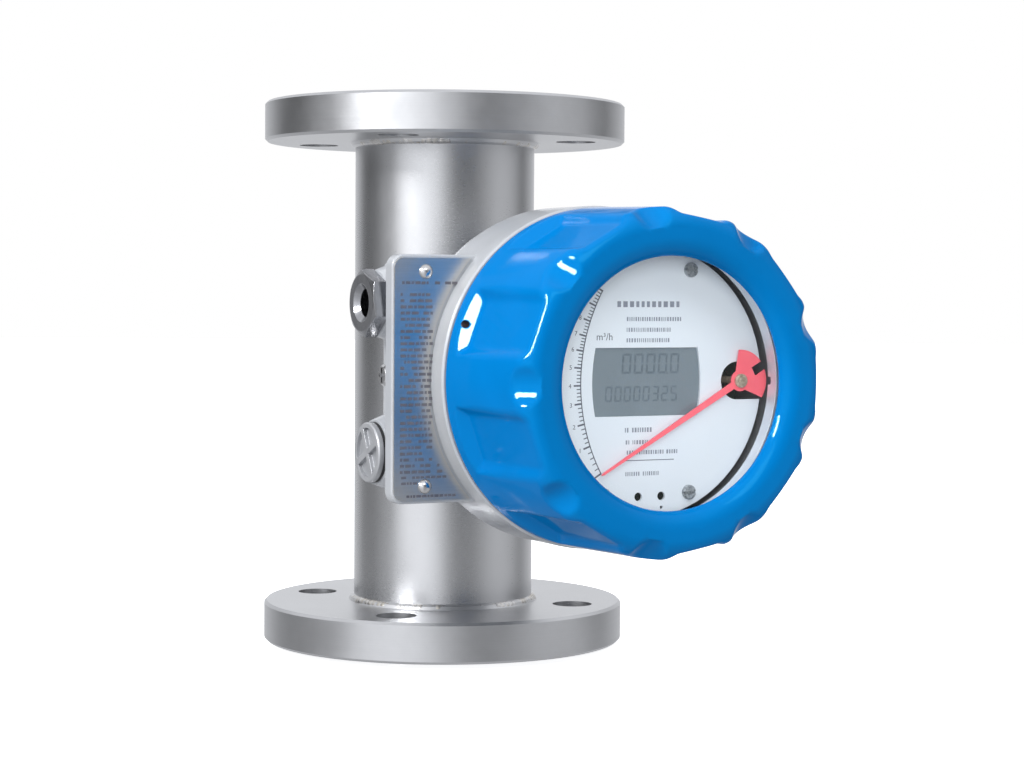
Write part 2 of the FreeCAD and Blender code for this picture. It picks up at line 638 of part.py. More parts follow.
b = body("ground_screw")
wl = D["wing_left"]
turn(b, "ground_body", [
    (0, wl - 8.0), (2.5, wl - 8.0), (2.5, wl + 1.2), (4.4, wl + 1.2), (4.4, wl + 4.0), (3.6, wl + 5.0), (0, wl + 5.0)])
s = sketch(b, "ground_cross", lift=wl + 3.2)
outline(s, [(-0.6, -3.0), (0.6, -3.0), (0.6, -0.6), (3.0, -0.6), (3.0, 0.6), (0.6, 0.6), (0.6, 3.0),
            (-0.6, 3.0), (-0.6, 0.6), (-3.0, 0.6), (-3.0, -0.6), (-0.6, -0.6)])
pocket(b, "ground_recess", s, 3.0)
keep(ground_frame(b))
b = body("ground_washer")
turn(b, "ground_ring", [(2.5, wl), (5.2, wl), (5.2, wl + 1.2), (2.5, wl + 1.2)])
keep(ground_frame(b))

# ================================================================ screw-on cover
b = body("cover")
CR, CF, CB = D["cover_radius"], D["cover_front"], D["cover_back"]
rho = D["cover_round"]
WR, LB = D["window_radius"], D["lip_back"]
CN = D["cover_nose"]
prof = [(D["cover_bore"], CB), (CR - 0.6, CB), (CR, CB + 0.6), (CR, CB + 6.0), (CN, CF - rho)]
for deg in (11.25, 22.5, 33.75, 45.0, 56.25, 67.5, 78.75, 90.0):
    a = math.radians(deg)
    prof.append((CN - rho * (1 - math.cos(a)), CF - rho * (1 - math.sin(a))))
lip_in = 7.5
lip_dr = 5.6
for deg in (15.0, 30.0, 45.0, 60.0, 75.0, 90.0):
    a = math.radians(deg)
    prof.append((WR + lip_in * (1 - math.sin(a)), CF - lip_dr * (1 - math.cos(a))))
prof += [(WR + 0.5, LB), (D["glass_radius"] + 0.3, LB), (D["glass_radius"] + 0.3, LB - 15.0), (D["cover_bore"], LB - 15.0)]
turn(b, "cover_blank", prof)
s = sketch(b, "flat_sketch", lift=D["flat_back"])
half = math.tan(math.radians(8.6))
fa = D["flat_apothem"]
ux, uy = -math.cos(math.radians(20.0)), math.sin(math.radians(20.0))
tx, ty = uy, -ux
fw, fo = fa * half, fa * half + 9.0
outline(s, [(fa * ux - fw * tx, fa * uy - fw * ty), (fa * ux + fw * tx, fa * uy + fw * ty),
            ((fa + 6.0) * ux + fo * tx, (fa + 6.0) * uy + fo * ty),
            ((fa + 6.0) * ux - fo * tx, (fa + 6.0) * uy - fo * ty)])
flat_profile = s
flat = pocket(b, "grip_flat", s, CF - D["flat_back"] + 2.0)
# each flat rises to the full radius over a short ramp at its back
s = sketch(b, "ramp_sketch", lift=D["ramp_back"])
rn = D["cover_radius"] + 0.1
rw = fw + (rn - fa) * 1.5
outline(s, [(rn * ux - rw * tx, rn * uy - rw * ty), (rn * ux + rw * tx, rn * uy + rw * ty),
            ((fa + 6.0) * ux + fo * tx, (fa + 6.0) * uy + fo * ty),
            ((fa + 6.0) * ux - fo * tx, (fa + 6.0) * uy - fo * ty)])
ramp = b.newObject("PartDesign::SubtractiveLoft", "grip_ramp")
ramp.Profile = s
ramp.Sections = [flat_profile]
ramp.Ruled = True
b.Tip = ramp
flats = around(b, "grip_flats", [flat, ramp], 9)
# finger scoops: a round flute across the front corner of each lug
ball = b.newObject("PartDesign::SubtractiveCylinder", "scoop")
bind(ball, "Radius", D["scoop_radius"])
bind(ball, "Height", 48.0)
ball.AttachmentSupport = [(origin_part(b, "XY_Plane"), "")]
ball.MapMode = "FlatFace"
tilt = math.radians(40.0)
reach = rho.v - D["scoop_depth"].v + D["scoop_radius"].v
au, ad = (CN - rho).v + reach * math.cos(tilt), (CF - rho).v + reach * math.sin(tilt)
ball.AttachmentOffset = FreeCAD.Placement(
    V(-au - 24.0 * math.sin(tilt), 0, ad - 24.0 * math.cos(tilt)),
    FreeCAD.Rotation(V(0, 0, 1), V(math.sin(tilt), 0, math.cos(tilt))))
b.Tip = ball
scoops = around(b, "scoops", [ball], 9)
# tapped hole for the locking screw, in the flat beside the left-hand lug
LOCK = math.radians(19.0)
lx, ly = -math.cos(LOCK), math.sin(LOCK)
LOCK_D = 150.6
tap = b.newObject("PartDesign::SubtractiveCylinder", "lock_hole")
bind(tap, "Radius", 1.5)
bind(tap, "Height", 12.0)
tap.AttachmentSupport = [(origin_part(b, "XY_Plane"), "")]
tap.MapMode = "FlatFace"
tap.AttachmentOffset = FreeCAD.Placement(V(72.0 * lx, 72.0 * ly, LOCK_D), FreeCAD.Rotation(V(0, 0, 1), V(-lx, -ly, 0)))
b.Tip = tap
keep(head_frame(b))

b = body("cover_lock_screw")
s = sketch(b, "lock_shank_sketch")
ring_of(s, 0, 0, 1.5)
pad(b, "lock_shank", s, 1.1)
s = sketch(b, "lock_socket_sketch", lift=0.4)
outline(s, hexagon(1.5))
pocket(b, "lock_socket", s, 3.0)
b.Placement = FreeCAD.Placement(V(0, 0, DIAL_H), FreeCAD.Rotation(V(1, 0, 0), 90)).multiply(
    FreeCAD.Placement(V(63.9 * lx, 63.9 * ly, LOCK_D), FreeCAD.Rotation(V(0, 0, 1), V(lx, ly, 0))))
keep(b)

GR, GT, KT = D["glass_radius"], D["glass_thick"], D["gasket_thick"]
b = body("window_glass")
g1_, g0_ = LB - KT, LB - KT - GT
turn(b, "glass_disc", [(0, g0_), (GR - 0.8, g0_), (GR, g0_ + 0.8), (GR, g1_ - 0.8), (GR - 0.8, g1_), (0, g1_)])
keep(head_frame(b))
b = body("glass_gasket")
turn(b, "gasket_ring", [(WR + 1.6, g1_), (GR, g1_), (GR, LB), (WR + 1.6, LB)])
keep(head_frame(b))
b = body("glass_retainer")
r0_ = g0_ - D["retainer_thick"]
turn(b, "retainer_ring", [(D["retainer_inner"], r0_), (GR + 0.3, r0_), (GR + 0.3, g0_), (D["retainer_inner"], g0_)])
s = sketch(b, "retainer_slots_sketch", lift=r0_)
outline(s, [(D["retainer_inner"] - 1.0, -1.5), (GR - 2.2, -1.5), (GR - 2.2, 1.5), (D["retainer_inner"] - 1.0, 1.5)])
slot = pocket(b, "retainer_slot", s, 2.0)
around(b, "retainer_slots", [slot], 4)
keep(head_frame(b))

seal = doc.addObject("Part::Torus", "cover_seal")
bind(seal, "Radius1", D["neck_radius"] - 0.9)
bind(seal, "Radius2", 1.1)
sealing = doc.addObject("Part::Compound", "cover_oring")
seal.setExpression("Placement.Base.z", "dims.can_front + 3.4")
sealing.Links = [seal]
keep(head_frame(sealing), "cover_oring")

# ================================================================ dial and movement
SCREWS = [(sx * 19.5, sy * 44.0) for sx in (-1, 1) for sy in (-1, 1)]
DB, DT = D["dial_back"], D["dial_thick"]
DF = DB + DT
PX = D["pivot_x"]
b = body("dial_plate")
s = sketch(b, "dial_sketch", lift=DB)
ring_of(s, 0, 0, D["dial_radius"])
pad(b, "dial_disc", s, DT)
s = sketch(b, "dial_window_sketch", lift=DB)
SW, SH = D["screen_half_wide"], D["screen_half_tall"]
steps = [-1.0, -0.75, -0.5, -0.25, 0.0, 0.25, 0.5, 0.75, 1.0]
outline(s, [(SW - 1.4 * t * t, SH * t) for t in steps] + [(-(SW - 1.4 * t * t), SH * t) for t in reversed(steps)])
pocket(b, "dial_window", s, DT)
s = sketch(b, "dial_holes_sketch", lift=DB)
for (x, y) in SCREWS:
    ring_of(s, x, y, 1.6)
ring_of(s, -3.5, -45.1, 1.7)
ring_of(s, 7.0, -45.1, 1.7)
ring_of(s, 7.2, -49.6, 0.7)
pocket(b, "dial_holes", s, DT)
s = sketch(b, "pivot_round_sketch", lift=DB)
ring_of(s, PX, 0, D["pivot_slot"])
pocket(b, "pivot_round", s, DT)
s = sketch(b, "pivot_slot_sketch", lift=DB)
outline(s, [(PX, -D["pivot_slot"]), (PX + 14.0, -D["pivot_slot"]), (PX + 14.0, D["pivot_slot"]), (PX, D["pivot_slot"])])
pocket(b, "pivot_slot_cut", s, DT)
keep(head_frame(b))

BB, BT = D["board_back"], D["board_thick"]
CB0, CT = D["chassis_back"], D["chassis_thick"]
CTOP = CB0 + CT


def screw(tag, x, y, seat, length, r, head_r, head_t):
    shank = cyl("shank_" + tag, r, q(seat) - length, q(seat) + 0.3, x, y)
    head = cyl("head_" + tag, head_r, seat, q(seat) + head_t, x, y)
    head_e = rounded("headr_" + tag, head, lambda e: e.Curve.TypeId == "Part::GeomCircle"
                     and abs(e.Curve.Center.z - (q(seat) + head_t).v) < 1e-6, 0.6)
    slot = box("slot_" + tag, q(x) - head_r - 1.0, q(x) + head_r + 1.0, q(y) - 0.4, q(y) + 0.4,
               q(seat) + head_t - 0.9, q(seat) + head_t + 1.0)
    return cut("screw_" + tag, fuse("screw_blank_" + tag, [shank, head_e]), slot)


grp = doc.addObject("Part::Compound", "dial_screws")
grp.Links = [screw("dial%d" % i, x, y, DF, 7.0, 1.5, 2.9, 1.7) for i, (x, y) in enumerate(SCREWS)]
keep(head_frame(grp), "dial_screws")

ups, downs = [], []
for i, (x, y) in enumerate(SCREWS):
    o = cyl("up_post_%d" % i, 3.0, BB + BT, DB, x, y)
    c = cyl("up_tap_%d" % i, 1.5, DF - 7.0, DB + 1.0, x, y)
    st = cyl("up_stud_%d" % i, 1.5, BB - 4.0, BB + BT + 0.5, x, y)
    ups.append(fuse("up_%d" % i, [cut("upb_%d" % i, o, c), st]))
    o = cyl("low_post_%d" % i, 3.0, CTOP, BB, x, y)
    c = cyl("low_tap_%d" % i, 1.5, BB - 4.0, BB + 1.0, x, y)
    st = cyl("low_stud_%d" % i, 1.5, CB0, CTOP + 0.5, x, y)
    downs.append(fuse("low_%d" % i, [cut("lowb_%d" % i, o, c), st]))
grp = doc.addObject("Part::Compound", "upper_standoffs")
grp.Links = ups
keep(head_frame(grp), "upper_standoffs")
grp = doc.addObject("Part::Compound", "lower_standoffs")
grp.Links = downs
keep(head_frame(grp), "lower_standoffs")

b = body("circuit_board")
s = sketch(b, "board_sketch", lift=BB)
ring_of(s, 0, 0, D["board_radius"])
pad(b, "board_disc", s, BT)
s = sketch(b, "board_holes_sketch", lift=BB)
for (x, y) in SCREWS:
    ring_of(s, x, y, 1.5)
ring_of(s, PX, 0, 4.0)
pocket(b, "board_holes", s, BT)
keep(head_frame(b))

b = body("lcd_module")
s = sketch(b, "lcd_sketch", lift=BB + BT)
outline(s, [(-28.0, -17.0), (28.0, -17.0), (28.0, 17.0), (-28.0, 17.0)])
pad(b, "lcd_block", s, DB - BB - BT - 0.1)
keep(head_frame(b))

FEET = [(sx * D["post_x"], sy * D["post_y"]) for sx in (-1, 1) for sy in (-1, 1)]
disc = cyl("chassis_disc", 54.0, CB0, CTOP)
hollow = box("chassis_hollow", -30.0, 36.0, -26.0, 26.0, CB0 - 1.0, CTOP + 1.0)
rear_leg = box("rear_leg", 44.0, 45.5, -6.0, 6.0, 66.5, CTOP)
rear_foot = box("rear_foot", 36.5, 45.5, -6.0, 6.0, 66.5, 68.0)
front_leg = box("front_leg", 50.2, 51.7, -7.0, 7.0, CB0, 165.5)
front_foot = box("front_foot", 36.5, 51.7, -7.0, 7.0, 164.0, 165.5)
ch_cuts = [cyl("chassis_foot_%d" % i, 1.6, CB0 - 1.0, CTOP + 1.0, x, y) for i, (x, y) in enumerate(FEET)]
ch_cuts += [cyl("chassis_post_%d" % i, 1.5, CB0 - 1.0, CTOP + 1.0, x, y) for i, (x, y) in enumerate(SCREWS)]
ch_cuts += [cyl("chassis_rear", 3.5, 60.0, 70.0, PX, 0.0), cyl("chassis_front", 3.5, 160.0, 167.0, PX, 0.0),
            cyl("chassis_shaft", 5.0, CB0 - 1.0, CTOP + 1.0, PX, 0.0)]
keep(head_frame(cut("chassis_shape", fuse("chassis_solid", [cut("chassis_plate", disc, hollow), rear_leg, rear_foot,
                                                            front_leg, front_foot]),
                    fuse("chassis_cuts", ch_cuts))), "chassis")

spacers = []
for i, (x, y) in enumerate(FEET):
    spacers.append(cut("spacer_%d" % i, cyl("spacer_out_%d" % i, 3.0, D["can_floor"], CB0, x, y),
                       cyl("spacer_in_%d" % i, 1.6, D["can_floor"] - 1.0, CB0 + 1.0, x, y)))
grp = doc.addObject("Part::Compound", "chassis_spacers")
grp.Links = spacers
keep(head_frame(grp), "chassis_spacers")
grp = doc.addObject("Part::Compound", "chassis_screws")
grp.Links = [screw("foot%d" % i, x, y, CTOP, 11.5, 1.25, 2.8, 1.8) for i, (x, y) in enumerate(FEET)]
keep(head_frame(grp), "chassis_screws")

bushes = []
for tag, z in (("rear", 66.5), ("front", 164.0)):
    o = cyl("bush_out_" + tag, 3.5, z - 1.5, z + 1.5)
    f = cyl("bush_rim_" + tag, 3.9, z - 2.5, z)
    c = cyl("bush_in_" + tag, D["shaft_radius"] + 0.08, z - 4.0, z + 4.0)
    one = cut("bush_" + tag, fuse("bush_blank_" + tag, [o, f]), c)
    one.setExpression("Placement.Base.x", "dims.pivot_x")
    bushes.append(one)
grp = doc.addObject("Part::Compound", "shaft_bearings")
grp.Links = bushes
keep(head_frame(grp), "shaft_bearings")

b = body("terminal_block")
s = sketch(b, "terminal_sketch", lift=CTOP)
outline(s, [(-47.0, -19.0), (-35.0, -19.0), (-35.0, 19.0), (-47.0, 19.0)])
pad(b, "terminal_body", s, 12.0)
s = sketch(b, "terminal_wells_sketch", lift=CTOP + 7.0)
for k in range(6):
    ring_of(s, -39.0, -15.0 + 6.0 * k, 2.0)
pocket(b, "terminal_wells", s, 6.0)
keep(head_frame(b))


def pointer_frame(o):
    """z out of the dial at the pivot, -x along the needle at its lowest reading."""
    o.Placement = FreeCAD.Placement(V(PX.v, 0, DIAL_H), FreeCAD.Rotation(V(1, 0, 0), 90)).multiply(
        FreeCAD.Placement(V(0, 0, 0), FreeCAD.Rotation(V(0, 0, 1), D["rest_angle"].v)))
    o.setExpression("Placement.Base.x", "dims.pivot_x")
    o.setExpression("Placement.Base.z", "dims.dial_height")
    return o


b = body("pointer_shaft")
sr = D["shaft_radius"]
turn(b, "shaft_rod", [(0, D["shaft_back"]), (sr - 0.4, D["shaft_back"]), (sr, D["shaft_back"] + 0.4),
                      (sr, D["shaft_front"] - 0.4), (sr - 0.4, D["shaft_front"]), (0, D["shaft_front"])])
keep(pointer_frame(b))

NP, NT = D["needle_plane"], D["needle_thick"]
wedge = doc.addObject("PartDesign::Body", "fan_wedge")
s = sketch(wedge, "wedge_sketch", lift=NP)
outline(s, [(-2.6, 0.0), (-0.3, -3.6), (8.4, -14.5), (16.0, -14.5), (16.0, 14.5), (8.4, 14.5), (-0.3, 3.6)])
pad(wedge, "wedge_pad", s, NT)
fan = doc.addObject("Part::Common", "fan_sector")
fan.Base = cyl("fan_disc", 12.4, NP, NP + NT)
fan.Tool = wedge
needle = doc.addObject("PartDesign::Body", "needle_bar")
s = sketch(needle, "needle_sketch", lift=NP)
NL = D["needle_length"]
outline(s, [(0.0, -1.5), (0.0, 1.5), (-NL + 1.0, 0.45), (-NL, 0.0), (-NL + 1.0, -0.45)])
pad(needle, "needle_pad", s, NT)
notch = box("fan_notch", 7.2, 14.0, -1.9, 1.9, NP - 1.0, NP + NT + 1.0)
bore = cyl("needle_bore", sr, NP - 1.0, NP + NT + 1.0)
keep(pointer_frame(cut("pointer_shape", fuse("pointer_solid", [fan, needle, cyl("needle_eye", 4.2, NP, NP + NT)]),
                       fuse("pointer_cuts", [notch, bore]))), "pointer")

b = body("pointer_hub")
turn(b, "hub_collar", [(sr, NP - 1.4), (3.2, NP - 1.4), (3.2, NP), (sr, NP)])
keep(pointer_frame(b))

b = body("hub_cap")
turn(b, "cap_disc", [(sr, NP + NT), (2.75, NP + NT), (2.75, NP + NT + 1.1), (2.3, NP + NT + 1.5), (sr, NP + NT + 1.5)])
keep(pointer_frame(b))

AB, AT, AL = D["arm_back"], D["arm_thick"], D["arm_length"]
b = body("follower_arm")
s = sketch(b, "arm_sketch", lift=AB)
outline(s, [(2.0, -2.5), (2.0, 2.5), (-AL - 4.0, 2.5), (-AL - 4.0, -2.5)])
pad(b, "arm_bar", s, AT)
s = sketch(b, "arm_boss_sketch", lift=AB - 0.5)
ring_of(s, 0, 0, 3.6)
pad(b, "arm_boss", s, AT + 1.5)
s = sketch(b, "arm_bore_sketch", lift=AB - 1.0)
ring_of(s, 0, 0, sr)
pocket(b, "arm_bore", s, AT + 3.0)
keep(pointer_frame(b))
b = body("follower_magnet")
s = sketch(b, "follower_sketch", lift=AB - 3.0)
MH = D["magnet_half"]
outline(s, [(-AL - 4.0, -MH), (-AL + 4.0, -MH), (-AL + 4.0, MH), (-AL - 4.0, MH)])
pad(b, "follower_block", s, 3.0)
keep(pointer_frame(b))

# ================================================================ write out
doc.recompute()
bad = [o.Name for o in doc.Objects if "Invalid" in o.State or "Error" in o.State]
if bad:
    raise RuntimeError("features failed: %s" % bad)
os.makedirs("parts", exist_ok=True)
names = set()
for obj in PARTS:
    shape = obj.Shape
    if shape.isNull() or not shape.isValid() or shape.Volume <= 0:
        raise RuntimeError("bad shape: " + obj.Label)
    if obj.Label in names:
        raise RuntimeError("label used twice: " + obj.Label)
    names.add(obj.Label)
    shape.exportStep("parts/" + obj.Label + ".step")
    print(obj.Label, round(shape.Volume / 1000.0, 3), "cm3", len(shape.Solids), "solids")
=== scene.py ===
import bpy
import math
import random
import numpy as np
from mathutils import Matrix, Vector


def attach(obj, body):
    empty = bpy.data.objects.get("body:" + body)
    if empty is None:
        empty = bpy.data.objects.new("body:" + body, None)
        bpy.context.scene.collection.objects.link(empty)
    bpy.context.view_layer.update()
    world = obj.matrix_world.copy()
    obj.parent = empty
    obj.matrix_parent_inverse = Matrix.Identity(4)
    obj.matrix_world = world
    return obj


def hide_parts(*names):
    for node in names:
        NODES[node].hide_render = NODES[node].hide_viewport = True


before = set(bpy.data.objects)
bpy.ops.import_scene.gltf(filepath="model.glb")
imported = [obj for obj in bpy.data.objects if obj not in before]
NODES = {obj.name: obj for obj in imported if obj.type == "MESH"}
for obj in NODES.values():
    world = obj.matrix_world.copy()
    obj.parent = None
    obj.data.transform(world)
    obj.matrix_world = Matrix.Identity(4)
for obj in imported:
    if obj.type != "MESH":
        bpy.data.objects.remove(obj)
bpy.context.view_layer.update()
HZ = 0.1275          # height of the dial axis
MM = 0.001


# ------------------------------------------------------------------ materials
class Mat:
    """A node material with a few shorthands."""

    def __init__(self, name):
        self.m = bpy.data.materials.new(name)
        self.m.use_nodes = True
        self.t = self.m.node_tree
        self.t.nodes.clear()
        self.out = self.t.nodes.new("ShaderNodeOutputMaterial")
        self.tc = None

    def n(self, kind, **kw):
        node = self.t.nodes.new("ShaderNode" + kind)
        for k, v in kw.items():
            if hasattr(node, k):
                setattr(node, k, v)
        return node

    def link(self, a, b):
        self.t.links.new(a, b)

    def put(self, socket, value):
        if isinstance(value, bpy.types.NodeSocket):
            self.link(value, socket)
        else:
            socket.default_value = value

    def obj(self):
        if self.tc is None:
            self.tc = self.n("TexCoord")
        return self.tc.outputs["Object"]

    def bsdf(self, color=(0.8, 0.8, 0.8), rough=0.5, metal=0.0, normal=None, to_output=True, **kw):
        b = self.n("BsdfPrincipled")
        if not isinstance(color, bpy.types.NodeSocket):
            color = (*color[:3], 1.0)
        self.put(b.inputs["Base Color"], color)
        self.put(b.inputs["Roughness"], rough)
        self.put(b.inputs["Metallic"], metal)
        if normal is not None:
            self.link(normal, b.inputs["Normal"])
        for k, v in kw.items():
            self.put(b.inputs[k.replace("_", " ")], v)
        if to_output:
            self.link(b.outputs["BSDF"], self.out.inputs["Surface"])
        return b

    def math(self, op, a, b=0.0, c=0.0, clamp=False):
        m = self.n("Math", operation=op)
        m.use_clamp = clamp
        self.put(m.inputs[0], a)
        self.put(m.inputs[1], b)
        if op in ("MULTIPLY_ADD", "SMOOTH_MIN", "SMOOTH_MAX", "COMPARE", "WRAP"):
            self.put(m.inputs[2], c)
        return m.outputs[0]

    def xyz(self, v):
        s = self.n("SeparateXYZ")
        self.link(v, s.inputs[0])
        return s.outputs

    def vec(self, x, y, z):
        s = self.n("CombineXYZ")
        for i, v in enumerate((x, y, z)):
            self.put(s.inputs[i], v)
        return s.outputs[0]

    def scale(self, v, sx, sy, sz, at=(0, 0, 0)):
        m = self.n("Mapping")
        self.link(v, m.inputs["Vector"])
        m.inputs["Scale"].default_value = (sx, sy, sz)
        m.inputs["Location"].default_value = at
        return m.outputs[0]

    def noise(self, v, scale, detail=2.0, rough=0.5):
        s = self.n("TexNoise")
        self.link(v, s.inputs["Vector"])
        s.inputs["Scale"].default_value = scale
        s.inputs["Detail"].default_value = detail
        s.inputs["Roughness"].default_value = rough
        return s.outputs["Fac"]

    def span(self, v, a, b, lo, hi, clamp=True):
        r = self.n("MapRange")
        r.clamp = clamp
        self.put(r.inputs["Value"], v)
        r.inputs["From Min"].default_value = a
        r.inputs["From Max"].default_value = b
        r.inputs["To Min"].default_value = lo
        r.inputs["To Max"].default_value = hi
        return r.outputs[0]

    def ramp(self, fac, stops):
        r = self.n("ValToRGB")
        el = r.color_ramp.elements
        while len(el) < len(stops):
            el.new(0.5)
        for e, (p, c) in zip(el, stops):
            e.position = p
            e.color = (*c, 1.0) if not isinstance(c, (int, float)) else (c, c, c, 1.0)
        self.put(r.inputs[0], fac)
        return r.outputs["Color"]

    def mix(self, fac, a, b):
        x = self.n("Mix", data_type="RGBA")
        self.put(x.inputs["Factor"], fac)
        for s, v in ((x.inputs[6], a), (x.inputs[7], b)):
            if not isinstance(v, bpy.types.NodeSocket):
                v = (*v[:3], 1.0)
            self.put(s, v)
        return x.outputs[2]

    def bump(self, height, strength, distance, normal=None):
        b = self.n("Bump")
        b.inputs["Strength"].default_value = strength
        b.inputs["Distance"].default_value = distance
        self.link(height, b.inputs["Height"])
        if normal is not None:
            self.link(normal, b.inputs["Normal"])
        return b.outputs[0]

    def soft_edge(self, radius):
        b = self.n("Bevel")
        b.samples = 6
        b.inputs["Radius"].default_value = radius
        return b.outputs[0]


def lin(r, g, b):
    """sRGB 0-255 to linear."""
    out = []
    for c in (r, g, b):
        c = c / 255.0
        out.append(c / 12.92 if c <= 0.04045 else ((c + 0.055) / 1.055) ** 2.4)
    return tuple(out)


def turned_radius(m, v):
    """Distance from the Z axis."""
    s = m.xyz(v)
    return m.math("SQRT", m.math("ADD", m.math("MULTIPLY", s[0], s[0]), m.math("MULTIPLY", s[1], s[1]))), s[2]


def head_radius(m, v):
    """Distance from the dial axis, and depth along it."""
    s = m.xyz(v)
    dz = m.math("SUBTRACT", s[2], HZ)
    return m.math("SQRT", m.math("ADD", m.math("MULTIPLY", s[0], s[0]), m.math("MULTIPLY", dz, dz))), s[1]


STEEL = (0.60, 0.605, 0.62)


def flange_steel():
    m = Mat("flange_steel_turned")
    v = m.obj()
    r, z = turned_radius(m, v)
    tool = m.vec(r, z, 0.0)
    fine = m.noise(m.scale(tool, 1, 1, 1), 5200.0, 2.0)
    broad = m.noise(m.scale(tool, 1, 1, 1), 900.0, 3.0)
    cloud = m.noise(v, 38.0, 4.0, 0.6)
    grain = m.noise(v, 900.0, 3.0)
    col = m.mix(m.span(cloud, 0.35, 0.65, 0.0, 1.0), tuple(c * 0.94 for c in STEEL), tuple(c * 1.04 for c in STEEL))
    col = m.mix(m.span(fine, 0.3, 0.7, 0.0, 0.25), col, (0.42, 0.42, 0.43))
    rough = m.math("ADD", m.span(broad, 0.3, 0.7, 0.30, 0.335), m.span(cloud, 0.3, 0.7, -0.02, 0.04))
    h = m.math("ADD", m.math("MULTIPLY", fine, 0.7), m.math("MULTIPLY", broad, 0.3))
    nrm = m.bump(h, 0.16, 0.00004)
    nrm = m.bump(grain, 0.22, 0.00006, nrm)
    m.bsdf(col, rough, 1.0, nrm)
    return m.m


def tube_steel():
    m = Mat("tube_steel_satin")
    v = m.obj()
    s = m.xyz(v)
    ang = m.math("ARCTAN2", s[1], s[0])
    # polished round the tube: fine lines run round it
    fine = m.noise(m.vec(m.math("MULTIPLY", ang, 0.004), s[2], 0.0), 4200.0, 3.0)
    cloud = m.noise(m.scale(v, 1, 1, 0.5), 30.0, 4.0, 0.6)
    grain = m.noise(v, 1400.0, 2.0)
    col = m.mix(m.span(cloud, 0.35, 0.65, 0.0, 1.0), tuple(c * 0.95 for c in STEEL), tuple(c * 1.03 for c in STEEL))
    rough = m.math("ADD", m.span(fine, 0.3, 0.7, 0.26, 0.32), m.span(cloud, 0.3, 0.7, -0.02, 0.03))
    nrm = m.bump(fine, 0.2, 0.00005)
    nrm = m.bump(grain, 0.18, 0.00005, nrm)
    m.bsdf(col, rough, 1.0, nrm)
    return m.m


def weld_steel():
    m = Mat("weld_steel")
    v = m.obj()
    lump = m.noise(v, 420.0, 3.0)
    tint = m.noise(v, 110.0, 3.0, 0.6)
    col = m.mix(m.span(tint, 0.35, 0.7, 0.0, 1.0), (0.66, 0.66, 0.67), (0.50, 0.47, 0.42))
    m.bsdf(col, m.span(lump, 0.3, 0.7, 0.2, 0.38), 1.0, m.bump(lump, 0.5, 0.0003))
    return m.m


def plain_steel(name, base, rough_lo, rough_hi, scale=700.0, bump=0.15):
    m = Mat(name)
    v = m.obj()
    grain = m.noise(v, scale, 3.0)
    cloud = m.noise(v, 90.0, 3.0, 0.6)
    col = m.mix(m.span(cloud, 0.35, 0.65, 0.0, 1.0), tuple(c * 0.9 for c in base), base)
    m.bsdf(col, m.span(grain, 0.3, 0.7, rough_lo, rough_hi), 1.0, m.bump(grain, bump, 0.00005))
    return m.m


BLUE = (0.0003, 0.184, 0.53)


def cover_paint():
    m = Mat("cover_paint_blue")
    v = m.obj()
    cloud = m.noise(v, 45.0, 3.0, 0.55)
    peel = m.noise(v, 260.0, 2.0)
    r, d = head_radius(m, v)
    col = m.mix(m.span(cloud, 0.3, 0.7, 0.0, 1.0), tuple(c * 0.94 for c in BLUE), BLUE)
    nrm = m.bump(peel, 0.05, 0.00025, m.soft_edge(0.0011))
    # gloss that stays low on faces seen edge on
    edge = m.n("LayerWeight")
    m.bsdf(col, m.span(cloud, 0.3, 0.7, 0.05, 0.065), 0.0, nrm,
           IOR=1.38, Specular_Tint=(0.1, 0.8, 1.0, 1.0),
           Specular_IOR_Level=m.span(edge.outputs["Facing"], 0.16, 0.5, 0.5, 0.02))
    return m.m


def housing_paint():
    m = Mat("housing_paint_silver")
    v = m.obj()
    cloud = m.noise(v, 50.0, 3.0, 0.55)
    peel = m.noise(v, 330.0, 2.0)
    flake = m.noise(v, 2600.0, 2.0)
    col = m.mix(m.span(cloud, 0.3, 0.7, 0.0, 1.0), (0.43, 0.45, 0.48), (0.49, 0.51, 0.54))
    col = m.mix(m.span(flake, 0.45, 0.7, 0.0, 0.25), col, (0.66, 0.68, 0.72))
    nrm = m.bump(peel, 0.08, 0.0003, m.soft_edge(0.0009))
    m.bsdf(col, m.span(flake, 0.3, 0.7, 0.3, 0.42), 0.15, nrm,
           Coat_Weight=0.6, Coat_Roughness=0.08)
    return m.m


def bracket_paint():
    m = Mat("bracket_paint_grey")
    v = m.obj()
    peel = m.noise(v, 400.0, 3.0)
    cloud = m.noise(v, 60.0, 3.0)
    col = m.mix(m.span(cloud, 0.3, 0.7, 0.0, 1.0), (0.48, 0.49, 0.51), (0.58, 0.59, 0.61))
    m.bsdf(col, m.span(peel, 0.3, 0.7, 0.35, 0.5), 0.1, m.bump(peel, 0.15, 0.0003))
    return m.m


def nickel():
    m = Mat("nickel_plate")
    v = m.obj()
    grain = m.noise(v, 500.0, 3.0)
    cloud = m.noise(v, 160.0, 2.0)
    col = m.mix(m.span(cloud, 0.3, 0.7, 0.0, 1.0), (0.33, 0.335, 0.355), (0.40, 0.405, 0.42))
    m.bsdf(col, m.span(grain, 0.3, 0.7, 0.16, 0.24), 1.0, m.bump(grain, 0.06, 0.0002, m.soft_edge(0.0004)))
    return m.m


def plate_metal():
    m = Mat("nameplate_brushed")
    v = m.obj()
    brush = m.noise(m.scale(v, 60, 1, 2600), 1.0, 3.0)
    cloud = m.noise(v, 60.0, 3.0)
    col = m.mix(m.span(brush, 0.3, 0.7, 0.0, 1.0), (0.57, 0.555, 0.525), (0.62, 0.605, 0.575))
    m.bsdf(col, m.math("ADD", m.span(brush, 0.3, 0.7, 0.3, 0.36), m.span(cloud, 0.3, 0.7, -0.02, 0.03)), 1.0,
           m.bump(brush, 0.03, 0.00003))
    return m.m


